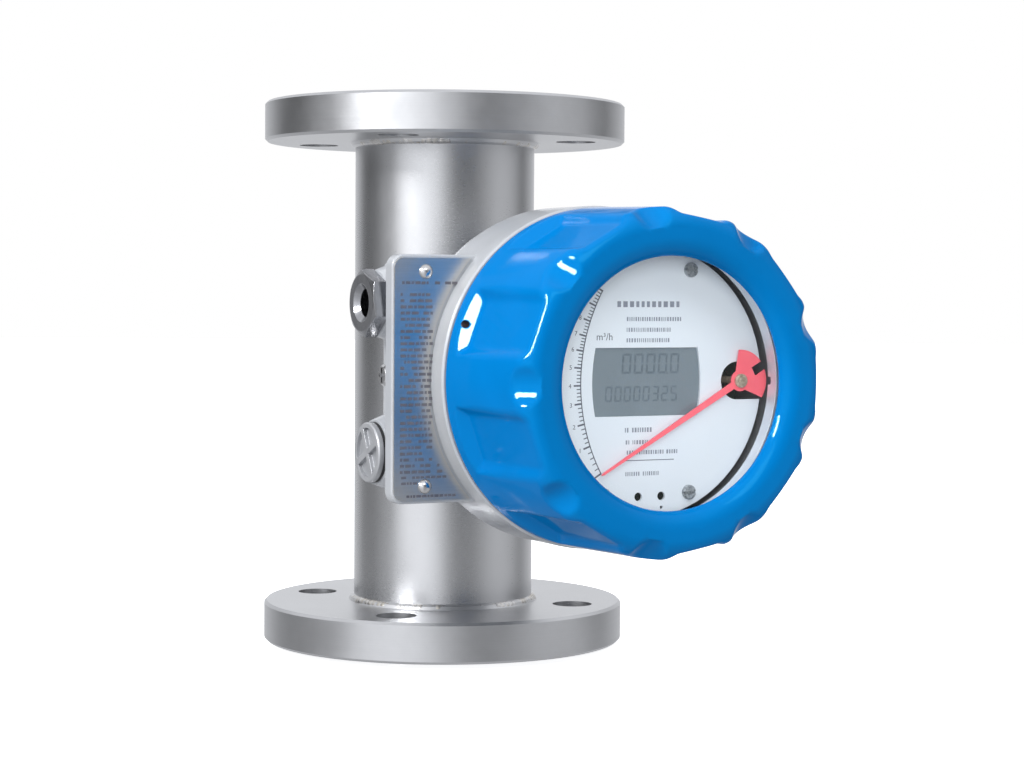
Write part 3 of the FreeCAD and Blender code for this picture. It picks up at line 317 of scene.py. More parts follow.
def dial_metal():
    m = Mat("dial_silver")
    v = m.obj()
    grain = m.noise(v, 1800.0, 2.0)
    cloud = m.noise(v, 25.0, 2.0)
    col = m.mix(m.span(cloud, 0.3, 0.7, 0.0, 1.0), (0.79, 0.835, 0.90), (0.83, 0.87, 0.925))
    m.bsdf(col, m.span(grain, 0.3, 0.7, 0.38, 0.48), 0.0, m.bump(grain, 0.05, 0.00004))
    return m.m


def rubber():
    m = Mat("black_rubber")
    v = m.obj()
    grain = m.noise(v, 1500.0, 3.0)
    col = m.mix(m.span(grain, 0.3, 0.7, 0.0, 1.0), (0.012, 0.012, 0.013), (0.03, 0.03, 0.032))
    m.bsdf(col, m.span(grain, 0.3, 0.7, 0.5, 0.7), 0.0, m.bump(grain, 0.25, 0.0001))
    return m.m


def window():
    """Flat glass that doesn't bend what is seen through it."""
    m = Mat("window_clear")
    v = m.obj()
    haze = m.noise(v, 40.0, 2.0)
    clear = m.n("BsdfTransparent")
    clear.inputs["Color"].default_value = (0.975, 0.985, 0.985, 1.0)
    gloss = m.n("BsdfGlossy")
    gloss.inputs["Color"].default_value = (1, 1, 1, 1)
    m.put(gloss.inputs["Roughness"], m.span(haze, 0.3, 0.7, 0.01, 0.03))
    # the same share of gloss on both faces of the slab, rising only edge on
    facing = m.n("LayerWeight").outputs["Facing"]
    share = m.math("MULTIPLY_ADD", m.math("POWER", facing, 5.0), 0.6, 0.018)
    mx = m.n("MixShader")
    m.link(share, mx.inputs[0])
    m.link(clear.outputs[0], mx.inputs[1])
    m.link(gloss.outputs[0], mx.inputs[2])
    m.link(mx.outputs[0], m.out.inputs["Surface"])
    return m.m


def board_green():
    m = Mat("board_green")
    v = m.obj()
    s = m.xyz(v)
    trace = m.noise(m.scale(v, 1, 1, 6), 240.0, 1.0)
    col = m.mix(m.span(trace, 0.52, 0.56, 0.0, 1.0), (0.004, 0.035, 0.014), (0.007, 0.06, 0.022))
    m.bsdf(col, m.span(trace, 0.3, 0.7, 0.3, 0.4), 0.0, m.bump(trace, 0.2, 0.0001))
    return m.m


def display_glass():
    m = Mat("display_glass")
    v = m.obj()
    s = m.xyz(v)
    cloud = m.noise(v, 60.0, 2.0)
    col = m.mix(m.span(cloud, 0.3, 0.7, 0.0, 1.0), (0.185, 0.228, 0.262), (0.203, 0.246, 0.280))
    m.bsdf(col, m.span(cloud, 0.3, 0.7, 0.16, 0.22), 0.0, None, Coat_Weight=0.4, Coat_Roughness=0.05)
    return m.m


def plastic(name, a, b, rough):
    m = Mat(name)
    v = m.obj()
    grain = m.noise(v, 1200.0, 3.0)
    cloud = m.noise(v, 120.0, 2.0)
    col = m.mix(m.span(cloud, 0.3, 0.7, 0.0, 1.0), a, b)
    m.bsdf(col, m.span(grain, 0.3, 0.7, rough, rough + 0.12), 0.0, m.bump(grain, 0.1, 0.0001))
    return m.m


def pointer_red():
    m = Mat("pointer_red")
    v = m.obj()
    cloud = m.noise(v, 200.0, 2.0)
    col = m.mix(m.span(cloud, 0.3, 0.7, 0.0, 1.0), (0.90, 0.135, 0.175), (0.94, 0.155, 0.195))
    m.bsdf(col, m.span(cloud, 0.3, 0.7, 0.32, 0.42), 0.0, m.bump(cloud, 0.05, 0.0001))
    return m.m


def screw_nickel():
    m = Mat("screw_nickel")
    v = m.obj()
    grain = m.noise(v, 900.0, 4.0, 0.7)
    col = m.mix(m.span(grain, 0.4, 0.6, 0.0, 1.0), (0.20, 0.22, 0.24), (0.46, 0.49, 0.52))
    m.bsdf(col, m.span(grain, 0.3, 0.7, 0.35, 0.5), 0.35, m.bump(grain, 0.4, 0.0002))
    return m.m


LOOK = {
    "flange_steel": flange_steel(), "tube_steel": tube_steel(),
    "inner_steel": plain_steel("inner_steel", (0.55, 0.55, 0.56), 0.28, 0.4),
    "float_steel": plain_steel("float_steel", (0.60, 0.60, 0.61), 0.18, 0.3),
    "magnet": plain_steel("magnet_dark", (0.20, 0.20, 0.21), 0.35, 0.5),
    "bracket_paint": bracket_paint(), "housing_paint": housing_paint(),
    "cover_paint": cover_paint(), "fastener_steel": plain_steel("fastener_steel", (0.62, 0.62, 0.63), 0.16, 0.28),
    "nickel": nickel(), "plate_metal": plate_metal(), "dial_metal": dial_metal(),
    "black_rubber": rubber(), "window": window(),
    "retainer_metal": plain_steel("retainer_metal", (0.58, 0.58, 0.6), 0.25, 0.36),
    "board_green": board_green(), "display_glass": display_glass(),
    "terminal_plastic": plastic("terminal_plastic", (0.05, 0.16, 0.09), (0.06, 0.2, 0.11), 0.4),
    "pointer_red": pointer_red(),
    "brass_part": plain_steel("brass_part", (0.60, 0.50, 0.34), 0.2, 0.32),
    "spacer_brass": plain_steel("spacer_brass", (0.62, 0.52, 0.33), 0.22, 0.34),
}
INK = plastic("ink_grey", lin(92, 96, 108), lin(104, 108, 120), 0.5)
INK_PALE = plastic("ink_pale", lin(138, 143, 156), lin(146, 151, 164), 0.5)
INK_PLATE = plastic("ink_plate", lin(92, 90, 98), lin(108, 106, 112), 0.5)
INK_LCD = plastic("ink_segment", lin(94, 106, 116), lin(100, 112, 122), 0.35)
WELD = weld_steel()

for name, o in NODES.items():
    for slot in o.material_slots:
        base = slot.material.name.split(".")[0] if slot.material else ""
        if base in LOOK:
            slot.material = LOOK[base]
        else:
            raise RuntimeError("no look for slot %s of %s" % (base, name))


for slot in NODES["dial_screws"].material_slots:
    slot.material = screw_nickel()


def hub_bronze():
    m = Mat("hub_bronze")
    v = m.obj()
    grain = m.noise(v, 900.0, 4.0, 0.7)
    col = m.mix(m.span(grain, 0.4, 0.6, 0.0, 1.0), (0.34, 0.27, 0.20), (0.55, 0.46, 0.36))
    m.bsdf(col, m.span(grain, 0.3, 0.7, 0.32, 0.45), 0.3, m.bump(grain, 0.3, 0.0002))
    return m.m


def satin_metal(name, a, b, rough, metal):
    m = Mat(name)
    v = m.obj()
    grain = m.noise(v, 800.0, 3.0, 0.6)
    cloud = m.noise(v, 120.0, 2.0)
    col = m.mix(m.span(cloud, 0.3, 0.7, 0.0, 1.0), a, b)
    m.bsdf(col, m.span(grain, 0.3, 0.7, rough, rough + 0.1), metal, m.bump(grain, 0.12, 0.0001, m.soft_edge(0.0005)))
    return m.m


for name, look in (("blanking_plug", satin_metal("plug_satin", (0.40, 0.41, 0.43), (0.48, 0.49, 0.51), 0.34, 0.45)),
                   ("glass_retainer", satin_metal("retainer_satin", (0.66, 0.70, 0.77), (0.74, 0.78, 0.84), 0.34, 0.4))):
    for slot in NODES[name].material_slots:
        slot.material = look
bronze = hub_bronze()
for name in ("hub_cap", "pointer_shaft"):
    for slot in NODES[name].material_slots:
        slot.material = bronze

# --------------------------------------------------------------- mesh helpers
def mesh_piece(name, verts, faces, material, body, smooth=True, scale=MM):
    me = bpy.data.meshes.new(name)
    me.from_pydata([(v[0] * scale, v[1] * scale, v[2] * scale) for v in verts], [], faces)
    me.validate()
    me.update()
    o = bpy.data.objects.new(name, me)
    bpy.context.scene.collection.objects.link(o)
    me.materials.append(material)
    if smooth:
        me.polygons.foreach_set("use_smooth", [True] * len(me.polygons))
    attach(o, body)
    return o


class Plates:
    """Many thin closed prisms that face -Y, gathered in one mesh.
    Outlines are (x, z) in mm from the dial axis, in the order that turns from +x to +z."""

    def __init__(self, back, front):
        self.v, self.f, self.b, self.t = [], [], back, front

    def prism(self, pts):
        k, n = len(self.v), len(pts)
        for d in (self.b, self.t):
            for x, y in pts:
                self.v.append((x, -d, HZ * 1000.0 + y))
        self.f.append([k + i for i in reversed(range(n))][::-1])
        self.f.append([k + n + i for i in range(n)][::-1])
        for i in range(n):
            j = (i + 1) % n
            self.f.append([k + i, k + n + i, k + n + j, k + j])

    def bar(self, x0, x1, y0, y1):
        self.prism([(x0, y0), (x1, y0), (x1, y1), (x0, y1)])

    def line(self, p, q, w):
        dx, dy = q[0] - p[0], q[1] - p[1]
        s = math.hypot(dx, dy)
        nx, ny = -dy / s * w / 2, dx / s * w / 2
        self.prism([(p[0] - nx, p[1] - ny), (q[0] - nx, q[1] - ny), (q[0] + nx, q[1] + ny), (p[0] + nx, p[1] + ny)])

    def ribbon(self, pts, w):
        for p, q in zip(pts, pts[1:]):
            self.line(p, q, w)

    def piece(self, name, material, body):
        o = mesh_piece(name, self.v, self.f, material, body, smooth=False)
        bm_fix(o)
        return o


def bm_fix(o):
    import bmesh
    bm = bmesh.new()
    bm.from_mesh(o.data)
    bmesh.ops.recalc_face_normals(bm, faces=bm.faces)
    bm.to_mesh(o.data)
    bm.free()


def text_mesh(words, size, x, y, depth_front, thick, align="CENTER"):
    """Built-in font turned into mesh data, facing -Y, centre line at x, baseline y (mm from the dial axis)."""
    cu = bpy.data.curves.new("tmp_text", "FONT")
    cu.body = words
    cu.size = size
    cu.align_x = align
    cu.extrude = thick / 2
    cu.resolution_u = 3
    o = bpy.data.objects.new("tmp_text", cu)
    bpy.context.scene.collection.objects.link(o)
    bpy.context.view_layer.update()
    me = bpy.data.meshes.new_from_object(o.evaluated_get(bpy.context.evaluated_depsgraph_get()))
    verts = [(v.co.x + x, -(depth_front - thick / 2) - v.co.z, HZ * 1000 + y + v.co.y) for v in me.vertices]
    faces = [list(p.vertices) for p in me.polygons]
    bpy.data.objects.remove(o)
    bpy.data.curves.remove(cu)
    bpy.data.meshes.remove(me)
    return verts, faces


def merge(parts):
    v, f = [], []
    for a, b in parts:
        k = len(v)
        v += a
        f += [[i + k for i in face] for face in b]
    return v, f


# -------------------------------------------------------------- screw-on cover
def seg_distance(px, py, pts):
    """Signed distance in the plane to a closed polygon, negative inside."""
    best = np.full(px.shape, 1e9)
    inside = np.zeros(px.shape, bool)
    n = len(pts)
    for i in range(n):
        ax, ay = pts[i]
        bx, by = pts[(i + 1) % n]
        ex, ey = bx - ax, by - ay
        wx, wy = px - ax, py - ay
        t = np.clip((wx * ex + wy * ey) / (ex * ex + ey * ey), 0, 1)
        best = np.minimum(best, (wx - ex * t) ** 2 + (wy - ey * t) ** 2)
        cross = (ay > py) != (by > py)
        with np.errstate(divide="ignore", invalid="ignore"):
            at = ax + (py - ay) * ex / (ey if ey != 0 else 1e-9)
        inside ^= cross & (px < at)
    d = np.sqrt(best)
    return np.where(inside, -d, d)


def smax(a, b, k):
    """Largest of two distances with the corner between them rounded."""
    h = np.clip(k - np.abs(a - b), 0, None) / k
    return np.maximum(a, b) + h * h * k * 0.25


def cover_shell():
    back, front, nose, rho = 143.2, 206.0, 68.2, 8.0
    cx0, cd0 = nose - rho, front - rho
    outer = [(0, back), (68.7, back), (69.3, back + 0.6), (69.3, back + 6.0), (nose, front - rho)]
    outer += [(cx0 + rho * math.cos(a), cd0 + rho * math.sin(a)) for a in np.linspace(0.05, math.pi / 2, 24)]
    outer += [(0, front)]
    apothem, flat_back, ramp_back, rim = 65.1, 154.4, 148.8, 69.4
    half = apothem * math.tan(math.radians(8.6))
    tilt = math.radians(40.0)
    reach = rho - 3.0 + 11.0
    au, ad = cx0 + reach * math.cos(tilt), cd0 + reach * math.sin(tilt)

    def solid(x, y, d):
        r = np.hypot(x, y)
        f = seg_distance(r, d, outer)
        for at in (20.0, -20.0, 60.0):
            c, s_ = math.cos(math.radians(at)), math.sin(math.radians(at))
            u = -x * c + y * s_
            t = x * s_ + y * c
            rise = (rim - apothem) / (flat_back - ramp_back)
            floor_ = (u - apothem)
            slope = (u - (apothem + (flat_back - d) * rise)) / math.hypot(1.0, rise)
            bed = -smax(-floor_, -slope, 0.3)
            side = (half + 1.5 * (u - apothem) - np.abs(t)) / math.hypot(1.0, 1.5)
            hollow = -smax(-bed, -side, 0.9)      # positive inside what is cut away
            f = smax(f, hollow, 0.4 + 1.4 * np.clip((d - 155.0) / 14.0, 0, 1))
        for at in (0.0, 40.0, -40.0):
            c, s_ = math.cos(math.radians(at)), math.sin(math.radians(at))
            u = -x * c + y * s_
            t = x * s_ + y * c
            across = (u - au) * math.cos(tilt) + (d - ad) * math.sin(tilt)
            flute = 11.0 - np.sqrt(across ** 2 + t ** 2)
            f = smax(f, flute, 1.15)
        return f

    rows = []                                    # radius, depth, outward normal in that plane, moves
    for r, d in ((63.5, 185.4), (63.5, 170.0), (63.5, 155.0), (63.5, back), (68.7, back)):
        rows.append((r, d, 0, 0, False))
    rows.append((69.3, back + 0.6, 1, 0, True))
    depths = [145.0, 146.5, 147.4] + [148.0 + 0.55 * i for i in range(17)] + [158.2, 160.0] + \
             [163.0 + 3.0 * i for i in range(10)] + [192.0, 193.5, 194.8, 195.8, 196.6, 197.3]
    for d in depths:
        r = 69.3 if d <= back + 6.0 else 69.3 + (nose - 69.3) * (d - back - 6.0) / (front - rho - back - 6.0)
        rows.append((r, d, 1, 0, True))
    for i in range(27):
        a = math.pi / 2 * i / 26.0
        rows.append((cx0 + rho * math.cos(a), cd0 + rho * math.sin(a), math.cos(a), math.sin(a), i < 26))
    rows.append((58.4, front, 0, 0, False))
    for i in range(13):
        a = math.pi / 2 * i / 12.0
        rows.append((49.1 + 7.5 * (1 - math.sin(a)), front - 5.6 * (1 - math.cos(a)), 0, 0, False))
    for r, d in ((49.6, 200.4), (55.0, 200.4), (60.8, 200.4), (60.8, 193.0), (60.8, 185.4)):
        rows.append((r, d, 0, 0, False))

    per = 100
    th = np.radians(np.arange(per) * 40.0 / per - 20.0)        # round one lug, measured from -x towards +y
    R = np.array([q[0] for q in rows])[:, None] * np.ones(per)[None]
    Dp = np.array([q[1] for q in rows])[:, None] * np.ones(per)[None]
    NR = np.array([q[2] for q in rows])[:, None] * np.ones(per)[None]
    ND = np.array([q[3] for q in rows])[:, None] * np.ones(per)[None]
    move = np.array([q[4] for q in rows])[:, None] & np.ones(per, bool)[None]
    T = np.zeros(R.shape)
    cs, sn = np.cos(th)[None], np.sin(th)[None]
    for _ in range(60):
        r, d = R - NR * T, Dp - ND * T
        f = solid(-r * cs, r * sn, d)
        T = np.where(move, np.clip(T + 0.8 * np.clip(f, -1, 3), 0, 9), 0)
    r, d = R - NR * T, Dp - ND * T
    n, m = per * 9, len(rows)
    verts = []
    for k in range(9):
        for j in range(per):
            a = th[j] + math.radians(40.0 * k)
            ca, sa = math.cos(a), math.sin(a)
            for i in range(m):
                verts.append((-r[i, j] * ca, -d[i, j], HZ * 1000 + r[i, j] * sa))
    faces = []
    for c in range(n):
        e = (c + 1) % n
        for i in range(m):
            i2 = (i + 1) % m
            faces.append([c * m + i, c * m + i2, e * m + i2, e * m + i])
    o = mesh_piece("cover_shell", verts, faces, LOOK["cover_paint"], "cover")
    bm_fix(o)
    # tapped hole of the locking screw
    a = math.radians(19.0)
    axis = Vector((-math.cos(a), 0, math.sin(a)))
    e1 = Vector((0, 1, 0))
    e2 = axis.cross(e1)
    hv, hf, k = [], [], 40
    for s_, rr in ((60.0, 1.5), (71.5, 1.5)):
        for i in range(k):
            b = 2 * math.pi * i / k
            hv.append(tuple((Vector((0, -150.6, HZ * 1000)) + axis * s_ + e1 * (rr * math.cos(b)) + e2 * (rr * math.sin(b))) * MM))
    hf = [[i, (i + 1) % k, k + (i + 1) % k, k + i] for i in range(k)] + [list(range(k))[::-1], list(range(k, 2 * k))]
    me = bpy.data.meshes.new("hole_tool")
    me.from_pydata(hv, [], hf)
    tool = bpy.data.objects.new("hole_tool", me)
    bpy.context.scene.collection.objects.link(tool)
    bm_fix(tool)
    mod = o.modifiers.new("hole", "BOOLEAN")
    mod.operation = "DIFFERENCE"
    mod.solver = "EXACT"
    mod.object = tool
    bpy.context.view_layer.update()
    done = bpy.data.meshes.new_from_object(o.evaluated_get(bpy.context.evaluated_depsgraph_get()))
    o.modifiers.clear()
    old = o.data
    o.data = done
    done.name = "cover_shell"
    bpy.data.meshes.remove(old)
    bpy.data.objects.remove(tool)
    bpy.data.meshes.remove(me)
    if not done.materials:
        done.materials.append(LOOK["cover_paint"])
    # painted shade: the hole's wall takes the black rubber material so the inside of the hole reads dark
    done.materials.append(LOOK["black_rubber"])
    start = Vector((0, -150.6, HZ * 1000)) * MM
    for face in done.polygons:
        off = face.center - start
        along = off.dot(axis)
        if (off - axis * along).length < 1.497 * MM and along > 0:
            face.material_index = len(done.materials) - 1
    done.polygons.foreach_set("use_smooth", [True] * len(done.polygons))
    done.set_sharp_from_angle(angle=math.radians(32))
    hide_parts("cover")
    return o


cover_shell()

# ------------------------------------------------------------------ weld beads
def weld_bead(name, z_face, up, seed):
    """Convex fillet bead between the tube and a flange, with the ripples of the weld pool."""
    rnd = random.Random(seed)
    ph = [rnd.uniform(0, 6.28) for _ in range(6)]
    n, m = 720, 12
    verts, faces = [], []
    ro, leg = 41.15, 2.7
    for i in range(n):
        a = 2 * math.pi * i / n
        wob = 0.30 * math.sin(3 * a + ph[0]) + 0.22 * math.sin(7 * a + ph[1]) + 0.14 * math.sin(17 * a + ph[2])
        beat = 96 * a + 0.8 * math.sin(5 * a + ph[3])
        scale_up = abs(math.sin(beat * 0.5)) ** 0.6
        bulge = 0.34 + 0.22 * scale_up + 0.10 * math.sin(29 * a + ph[4])
        wide, tall = leg * 0.80 + 0.5 * wob, leg * 0.86 + 0.6 * wob
        ring = []
        for j in range(m):
            t = j / (m - 1.0)
            # straight chord from the flange to the tube, pushed out by the bulge
            r = ro - 0.05 + wide * (1 - t)
            h = -0.05 + tall * t
            push = bulge * math.sin(math.pi * t) ** 0.8 * 0.7071
            ring.append((r + push, h + push))
        ring.append((ro - 0.5, -0.4))
        for r, h in ring:
            verts.append((r * math.cos(a), r * math.sin(a), z_face + h * up))
    k = m + 1
    for i in range(n):
        for j in range(k):
            a, b = i * k + j, i * k + (j + 1) % k
            c, d = ((i + 1) % n) * k + (j + 1) % k, ((i + 1) % n) * k + j
            faces.append([a, b, c, d])
    o = mesh_piece(name, verts, faces, WELD, "meter_body")
    bm_fix(o)
    return o


weld_bead("weld_bead_lower", 20.0, 1.0, 5)
weld_bead("weld_bead_upper", 230.0, -1.0, 11)


# ------------------------------------------------------- thread on the neck
def neck_thread():
    pitch, r0, h = 2.0, 62.9, 0.45
    d0, d1, steps = 149.0, 182.5, 120
    turns = (d1 - d0 - pitch) / pitch
    total = int(turns * steps)
    verts, faces = [], []
    for i in range(total + 1):
        a = 2 * math.pi * i / steps
        d = d0 + pitch * i / steps
        fade = min(1.0, i / 40.0, (total - i) / 40.0)
        crest = r0 + (h + 0.05) * fade - 0.0
        for r, dd in ((r0, d), (r0, d + 0.8 * pitch), (max(crest, r0 + 0.02), d + 0.5 * pitch), (max(crest, r0 + 0.02), d + 0.3 * pitch)):
            verts.append((r * math.cos(a), -dd, HZ * 1000 + r * math.sin(a)))
    for i in range(total):
        for j in range(4):
            faces.append([4 * i + j, 4 * i + (j + 1) % 4, 4 * i + 4 + (j + 1) % 4, 4 * i + 4 + j])
    faces.append([3, 2, 1, 0])
    faces.append([4 * total + j for j in range(4)])
    o = mesh_piece("neck_thread", verts, faces, LOOK["housing_paint"], "meter_body", smooth=False)
    bm_fix(o)


neck_thread()

# ------------------------------------------------------------------ dial face
PX, PZ = 42.0, 0.0
DIAL = 181.5
marks = Plates(DIAL - 0.02, DIAL + 0.05)
R_ARC = 71.8


def polar(r, deg):
    a = math.radians(deg)
    return (PX - r * math.cos(a), PZ + r * math.sin(a))


marks.ribbon([polar(R_ARC, -29.9 + 59.8 * i / 80.0) for i in range(81)], 0.42)
# ten unequal steps, each cut in five
steps = [-29.6, -20.1, -12.9, -6.5, -0.9, 4.5, 9.8, 14.5, 19.3, 24.4, 29.6]
labels = []
for k in range(11):
    marks.line(polar(R_ARC, steps[k]), polar(R_ARC + 3.1, steps[k]), 0.66)
    labels.append((str(k), polar(R_ARC + 4.7, steps[k])))
    if k == 10:
        break
    for i in range(1, 5):
        at = steps[k] + (steps[k + 1] - steps[k]) * i / 5.0
        marks.line(polar(R_ARC, at), polar(R_ARC + 1.8, at), 0.4)
marks.piece("dial_scale", INK, "meter_body")

texts = []
for word, p in labels[1:10]:
    texts.append(text_mesh(word, 2.5, p[0], p[1] - 0.9, DIAL + 0.05, 0.07, "CENTER"))
texts.append(text_mesh("m³/h", 4.0, -19.3, 16.4, DIAL + 0.05, 0.07))
v, f = merge(texts)
mesh_piece("dial_figures", v, f, INK, "meter_body", smooth=False)

# rows of short dashes where the real dial has print
rows = Plates(DIAL - 0.02, DIAL + 0.05)
rnd = random.Random(7)


def dashes(plates, x0, x1, y, high, least, most, gap, skip=0.0):
    x = x0
    while x < x1 - least:
        w = rnd.uniform(least, most)
        w = min(w, x1 - x)
        if rnd.random() >= skip:
            plates.bar(x, x + w, y - high / 2, y + high / 2)
        x += w + gap


rows.bar(-9.8, 12.7, -30.9, -30.6)
rows.piece("dial_rule", INK, "meter_body")
rows = Plates(DIAL - 0.02, DIAL + 0.05)
for x0, x1, y, high, least, most, gap in ((-13.7, 14.6, 30.4, 2.3, 1.3, 2.3, 1.05), (-9.4, 15.9, 24.6, 1.6, 0.3, 0.8, 0.5),
                                          (-9.4, 10.6, 20.4, 1.6, 0.3, 0.8, 0.5), (-9.4, 10.9, 16.3, 1.6, 0.3, 0.8, 0.5),
                                          (-9.8, 2.9, -18.8, 1.8, 0.4, 0.9, 0.5), (-9.4, 0.8, -23.6, 1.6, 0.3, 0.8, 0.5),
                                          (-8.9, 15.0, -27.6, 1.6, 0.3, 0.8, 0.5), (-9.4, 6.1, -36.0, 1.6, 0.3, 0.8, 0.5)):
    dashes(rows, x0, x1, y, high, least, most, gap, 0.04)
rows.piece("dial_rows", INK_PALE, "meter_body")

# ------------------------------------------------------------------- display
LCD = 180.4
seg = Plates(LCD - 0.03, LCD + 0.03)
SEGS = {"0": "abcdef", "1": "bc", "2": "abged", "3": "abgcd", "4": "fgbc", "5": "afgcd", "6": "afgedc",
        "7": "abc", "8": "abcdefg", "9": "abcdfg"}


def digit(ch, x, y, w, h, t, slant=0.06):
    def pt(px, py):
        return (x + px + (py - h / 2) * slant, y + py)
    g = 0.12
    parts = {
        "a": [(t + g, h - t), (w - t - g, h - t), (w - g - t * 0.3, h), (g + t * 0.3, h)],
        "d": [(g + t * 0.3, 0), (w - g - t * 0.3, 0), (w - t - g, t), (t + g, t)],
        "g": [(t * 0.6 + g, h / 2 - t / 2), (w - t * 0.6 - g, h / 2 - t / 2), (w - t * 0.6 - g, h / 2 + t / 2), (t * 0.6 + g, h / 2 + t / 2)],
        "f": [(0, h / 2 + g), (t, h / 2 + t * 0.6), (t, h - t - g), (0, h - g)],
        "e": [(0, g), (t, t + g), (t, h / 2 - t * 0.6), (0, h / 2 - g)],
        "b": [(w - t, h / 2 + t * 0.6), (w, h / 2 + g), (w, h - g), (w - t, h - t - g)],
        "c": [(w - t, t + g), (w, g), (w, h / 2 - g), (w - t, h / 2 - t * 0.6)],
    }
    for s in SEGS[ch]:
        seg.prism([pt(*p) for p in parts[s]])


for i, ch in enumerate("00000"):
    digit(ch, -10.7 + 5.5 * i, 3.2, 4.1, 7.9, 0.8)
seg.bar(10.4 - 0.7, 10.4 - 0.1, 3.0, 3.6)
for i, ch in enumerate("00000325"):
    digit(ch, -18.2 + 4.25 * i, -7.7, 3.1, 6.0, 0.65)
seg.piece("display_segments", INK_LCD, "meter_body")

# ----------------------------------------------------------------- nameplate
PLATE = 132.3
rows = Plates(PLATE - 0.02, PLATE + 0.03)
rnd = random.Random(21)
dashes(rows, -83.0, -57.5, 38.2, 1.15, 0.8, 2.6, 0.5, 0.1)
y = 33.5
while y > -37.5:
    right = -math.sqrt(max(0.0, 73.4 ** 2 - y * y))
    end = min(-54.0, right) - 1.4
    mid = -69.5
    dashes(rows, -83.6, mid, y, 1.15, 0.8, 3.2, 0.55, 0.12)
    dashes(rows, mid + 2.2, end, y, 1.15, 0.8, 2.6, 0.55, 0.15)
    y -= 2.42
for y in (-38.9, -41.2):
    right = -math.sqrt(max(0.0, 73.4 ** 2 - y * y))
    dashes(rows, -83.0, -75.4 if y < -40 else min(-54.0, right) - 1.0, y, 0.95, 0.7, 2.2, 0.4, 0.04)
dashes(rows, -82.0, -58.5, -46.4, 1.0, 0.7, 2.2, 0.4, 0.04)
rows.piece("nameplate_rows", INK_PLATE, "meter_body")

# --------------------------------------------------------------- camera
D, CH, F = 1048.9307, 164.0407, 2266.8456
PITCH, YAW, ROLL, AZ = 0.0425, -0.0301, 0.0068, 26.0


def camera_axes():
    cy, sy = math.cos(YAW), math.sin(YAW)
    cp, sp = math.cos(PITCH), math.sin(PITCH)
    cr, sr = math.cos(ROLL), math.sin(ROLL)
    Rz = Matrix(((cy, sy, 0), (-sy, cy, 0), (0, 0, 1)))
    Rx = Matrix(((1, 0, 0), (0, cp, -sp), (0, sp, cp)))
    base = Matrix(((1, 0, 0), (0, 0, -1), (0, 1, 0)))
    Rr = Matrix(((cr, -sr, 0), (sr, cr, 0), (0, 0, 1)))
    M = Rr @ base @ (Rx @ Rz)
    a = math.radians(-AZ)
    Rw = Matrix(((math.cos(a), -math.sin(a), 0), (math.sin(a), math.cos(a), 0), (0, 0, 1)))
    place = Rw @ Vector((0, -D, CH))
    Mr = M @ Rw.transposed()
    return place, Mr[0].copy(), -Mr[1], -Mr[2]


place, cx, cyv, cz = camera_axes()
cam_data = bpy.data.cameras.new("camera")
cam = bpy.data.objects.new("camera", cam_data)
bpy.context.scene.collection.objects.link(cam)
mw = Matrix.Identity(4)
for i, axis in enumerate((cx, cyv, cz)):
    for j in range(3):
        mw[j][i] = axis[j]
for j in range(3):
    mw[j][3] = place[j] * MM
cam.matrix_world = mw
cam_data.sensor_width = 36.0
cam_data.lens = F * 36.0 / 1024.0
cam_data.clip_start = 0.05
cam_data.clip_end = 50.0
bpy.context.scene.camera = cam
bpy.context.scene.view_settings.view_transform = "Standard"
bpy.context.scene.view_settings.look = "None"

# ------------------------------------------------------------------- lights
world = bpy.data.worlds.new("studio")
bpy.context.scene.world = world
world.use_nodes = True
wt = world.node_tree
wt.nodes.clear()


def wn(kind, **kw):
    node = wt.nodes.new("ShaderNode" + kind)
    for k, val in kw.items():
        setattr(node, k, val)
    return node


def wmath(op, a, b=0.0, c=0.0, clamp=False):
    m = wn("Math", operation=op)
    m.use_clamp = clamp
    for i, val in enumerate((a, b, c)):
        if isinstance(val, bpy.types.NodeSocket):
            wt.links.new(val, m.inputs[i])
        elif i < len(m.inputs):
            m.inputs[i].default_value = val
    return m.outputs[0]


def wramp(fac, stops, scale=1.0):
    """Piecewise linear value; stops are (position 0-1, value)."""
    r = wn("ValToRGB")
    el = r.color_ramp.elements
    while len(el) < len(stops):
        el.new(0.5)
    for e, (p, c) in zip(el, stops):
        e.position = p
        e.color = (c / scale, c / scale, c / scale, 1.0)
    wt.links.new(fac, r.inputs[0])
    return wmath("MULTIPLY", r.outputs["Color"], scale)


tc = wn("TexCoord")
sep = wn("SeparateXYZ")
wt.links.new(tc.outputs["Generated"], sep.inputs[0])
# azimuth from -Y towards -X, in degrees over 360
az = wmath("ARCTAN2", wmath("MULTIPLY", sep.outputs[0], -1.0), wmath("MULTIPLY", sep.outputs[1], -1.0))
az01 = wmath("ADD", wmath("DIVIDE", az, 2 * math.pi), 0.5)       # 0 at -180, 0.5 at 0, 1 at 180
el = wmath("ARCSINE", sep.outputs[2])
el01 = wmath("ADD", wmath("DIVIDE", el, math.pi), 0.5)           # 0.5 at the horizon


def azp(deg):
    return (deg + 180.0) / 360.0


def elp(deg):
    return (deg + 90.0) / 180.0


RING = [(-180, 0.78), (-160, 0.95), (-134, 0.86), (-118, 0.60), (-104, 0.46), (-97, 0.19), (-86, 0.22), (-74, 0.52),
        (-60, 0.65), (-44, 0.69), (-28, 0.48), (-12, 0.22), (4, 0.16), (14, 0.235), (24, 0.66), (34, 1.24),
        (46, 1.50), (62, 1.42), (76, 1.20), (86, 1.0), (95, 0.33), (108, 0.37), (122, 0.13), (138, 0.11), (152, 0.17),
        (160, 0.46), (180, 0.78)]
ring = wramp(az01, [(azp(a), v) for a, v in RING], 2.0)
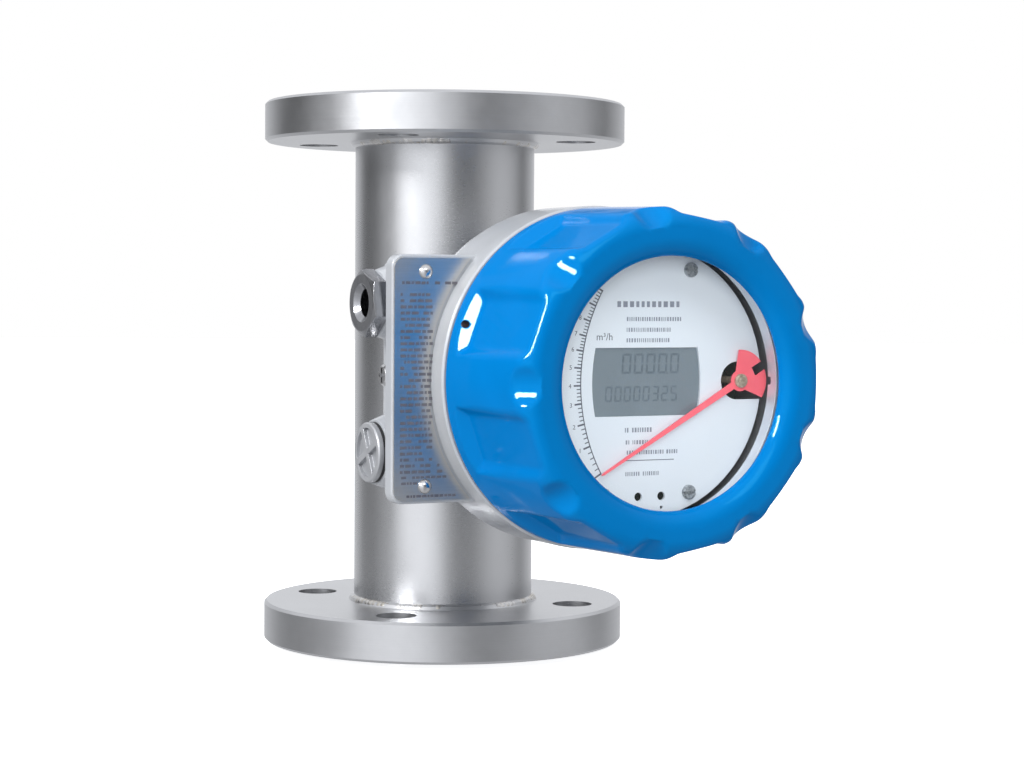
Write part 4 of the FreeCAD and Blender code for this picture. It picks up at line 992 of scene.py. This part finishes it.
# how the ring carries upwards: full at the horizon, an even ceiling above
up_mix = wramp(el01, [(elp(-90), 0.0), (elp(-30), 0.3), (elp(-12), 0.52), (elp(-7), 0.62), (elp(-2), 0.95), (elp(14), 1.0), (elp(34), 0.1), (elp(90), 0.0)])
ceiling = wramp(el01, [(elp(-90), 0.64), (elp(-30), 0.62), (elp(-10), 0.70), (elp(12), 0.6), (elp(34), 1.0), (elp(90), 1.0)], 2.0)
mixed = wmath("ADD", wmath("MULTIPLY", ring, up_mix), wmath("MULTIPLY", ceiling, wmath("SUBTRACT", 1.0, up_mix)))

lp = wn("LightPath")
bg = wn("Background")
colr = wn("CombineColor")
wt.links.new(wmath("MULTIPLY", mixed, 0.985), colr.inputs[0])
wt.links.new(wmath("MULTIPLY", mixed, 1.0), colr.inputs[1])
wt.links.new(wmath("MULTIPLY", mixed, 1.03), colr.inputs[2])
wt.links.new(colr.outputs[0], bg.inputs["Color"])
bg.inputs["Strength"].default_value = 1.0
white = wn("Background")
white.inputs["Color"].default_value = (1, 1, 1, 1)
white.inputs["Strength"].default_value = 1.0
mx = wn("MixShader")
wt.links.new(lp.outputs["Is Camera Ray"], mx.inputs[0])
wt.links.new(bg.outputs[0], mx.inputs[1])
wt.links.new(white.outputs[0], mx.inputs[2])
wo = wn("OutputWorld")
wt.links.new(mx.outputs[0], wo.inputs["Surface"])


def direction(az_deg, el_deg):
    a, e = math.radians(az_deg), math.radians(el_deg)
    return Vector((-math.sin(a) * math.cos(e), -math.cos(a) * math.cos(e), math.sin(e)))


def softbox(name, az_deg, el_deg, dist, wide, tall, radiance, color=(1, 1, 1), target=(0, -0.1, 0.13)):
    d = direction(az_deg, el_deg)
    data = bpy.data.lights.new(name, "AREA")
    data.shape = "RECTANGLE"
    data.size = wide
    data.size_y = tall
    data.energy = radiance * math.pi * wide * tall
    data.color = color
    o = bpy.data.objects.new(name, data)
    bpy.context.scene.collection.objects.link(o)
    o.location = Vector(target) + d * dist
    o.rotation_euler = d.to_track_quat("Z", "Y").to_euler()
    return o


# compact key light high on the left, whose mirror image makes the white highlights on the paint
softbox("key", 76.0, 27.5, 2.4, 0.62, 0.62, 32.0)
# the same light again, seen only in the cover's gloss
spark = softbox("key_gloss", 76.0, 27.5, 2.39, 0.60, 0.60, 320.0, (1.0, 0.2, 0.15))
spark.visible_diffuse = False
spark.visible_transmission = False
only_cover = bpy.data.collections.new("gloss_receivers")
only_cover.objects.link(bpy.data.objects["cover_shell"])
spark.light_linking.receiver_collection = only_cover
# soft light that reaches the dial through the window
inside = softbox("dial_fill", 24.0, 8.0, 2.4, 1.0, 0.8, 9.8)
inside.visible_glossy = False
behind_glass = bpy.data.collections.new("dial_receivers")
for name in ("dial_plate", "dial_screws", "lcd_module", "pointer", "pointer_hub", "hub_cap", "pointer_shaft", "glass_retainer",
             "dial_scale", "dial_figures", "dial_rule", "dial_rows", "display_segments"):
    behind_glass.objects.link(bpy.data.objects[name])
inside.light_linking.receiver_collection = behind_glass
near_pointer = softbox("pointer_fill", 30.0, 12.0, 2.4, 0.8, 0.6, 7.5)
near_pointer.visible_glossy = False
red_parts = bpy.data.collections.new("pointer_receivers")
for name in ("pointer", "pointer_hub", "hub_cap"):
    red_parts.objects.link(bpy.data.objects[name])
near_pointer.light_linking.receiver_collection = red_parts
# broad front fill
softbox("fill_front", 14.0, 40.0, 2.6, 1.8, 1.0, 2.6)

# -------------------------------------------------------------------- floor
m = Mat("floor_pale")
v = m.obj()
tone = m.noise(v, 3.0, 2.0)
col = m.mix(tone, (0.93, 0.93, 0.93), (0.95, 0.95, 0.95))
b = m.bsdf(col, 0.9, 0.0, None)
b.inputs["Emission Color"].default_value = (1, 1, 1, 1)
b.inputs["Emission Strength"].default_value = 0.72
n = 48
verts, faces = [], []
rings = [0.0, 0.4, 1.0, 2.5, 6.0]
for r in rings[1:]:
    for i in range(n):
        a = 2 * math.pi * i / n
        verts.append((r * math.cos(a), r * math.sin(a), -0.0004))
faces.append(list(range(n)))
for k in range(len(rings) - 2):
    for i in range(n):
        a, b2 = k * n + i, k * n + (i + 1) % n
        faces.append([a, a + n, b2 + n, b2])
me = bpy.data.meshes.new("floor")
me.from_pydata(verts, [], faces)
me.update()
floor = bpy.data.objects.new("floor", me)
bpy.context.scene.collection.objects.link(floor)
me.materials.append(m.m)
floor.visible_glossy = False
floor.visible_diffuse = False
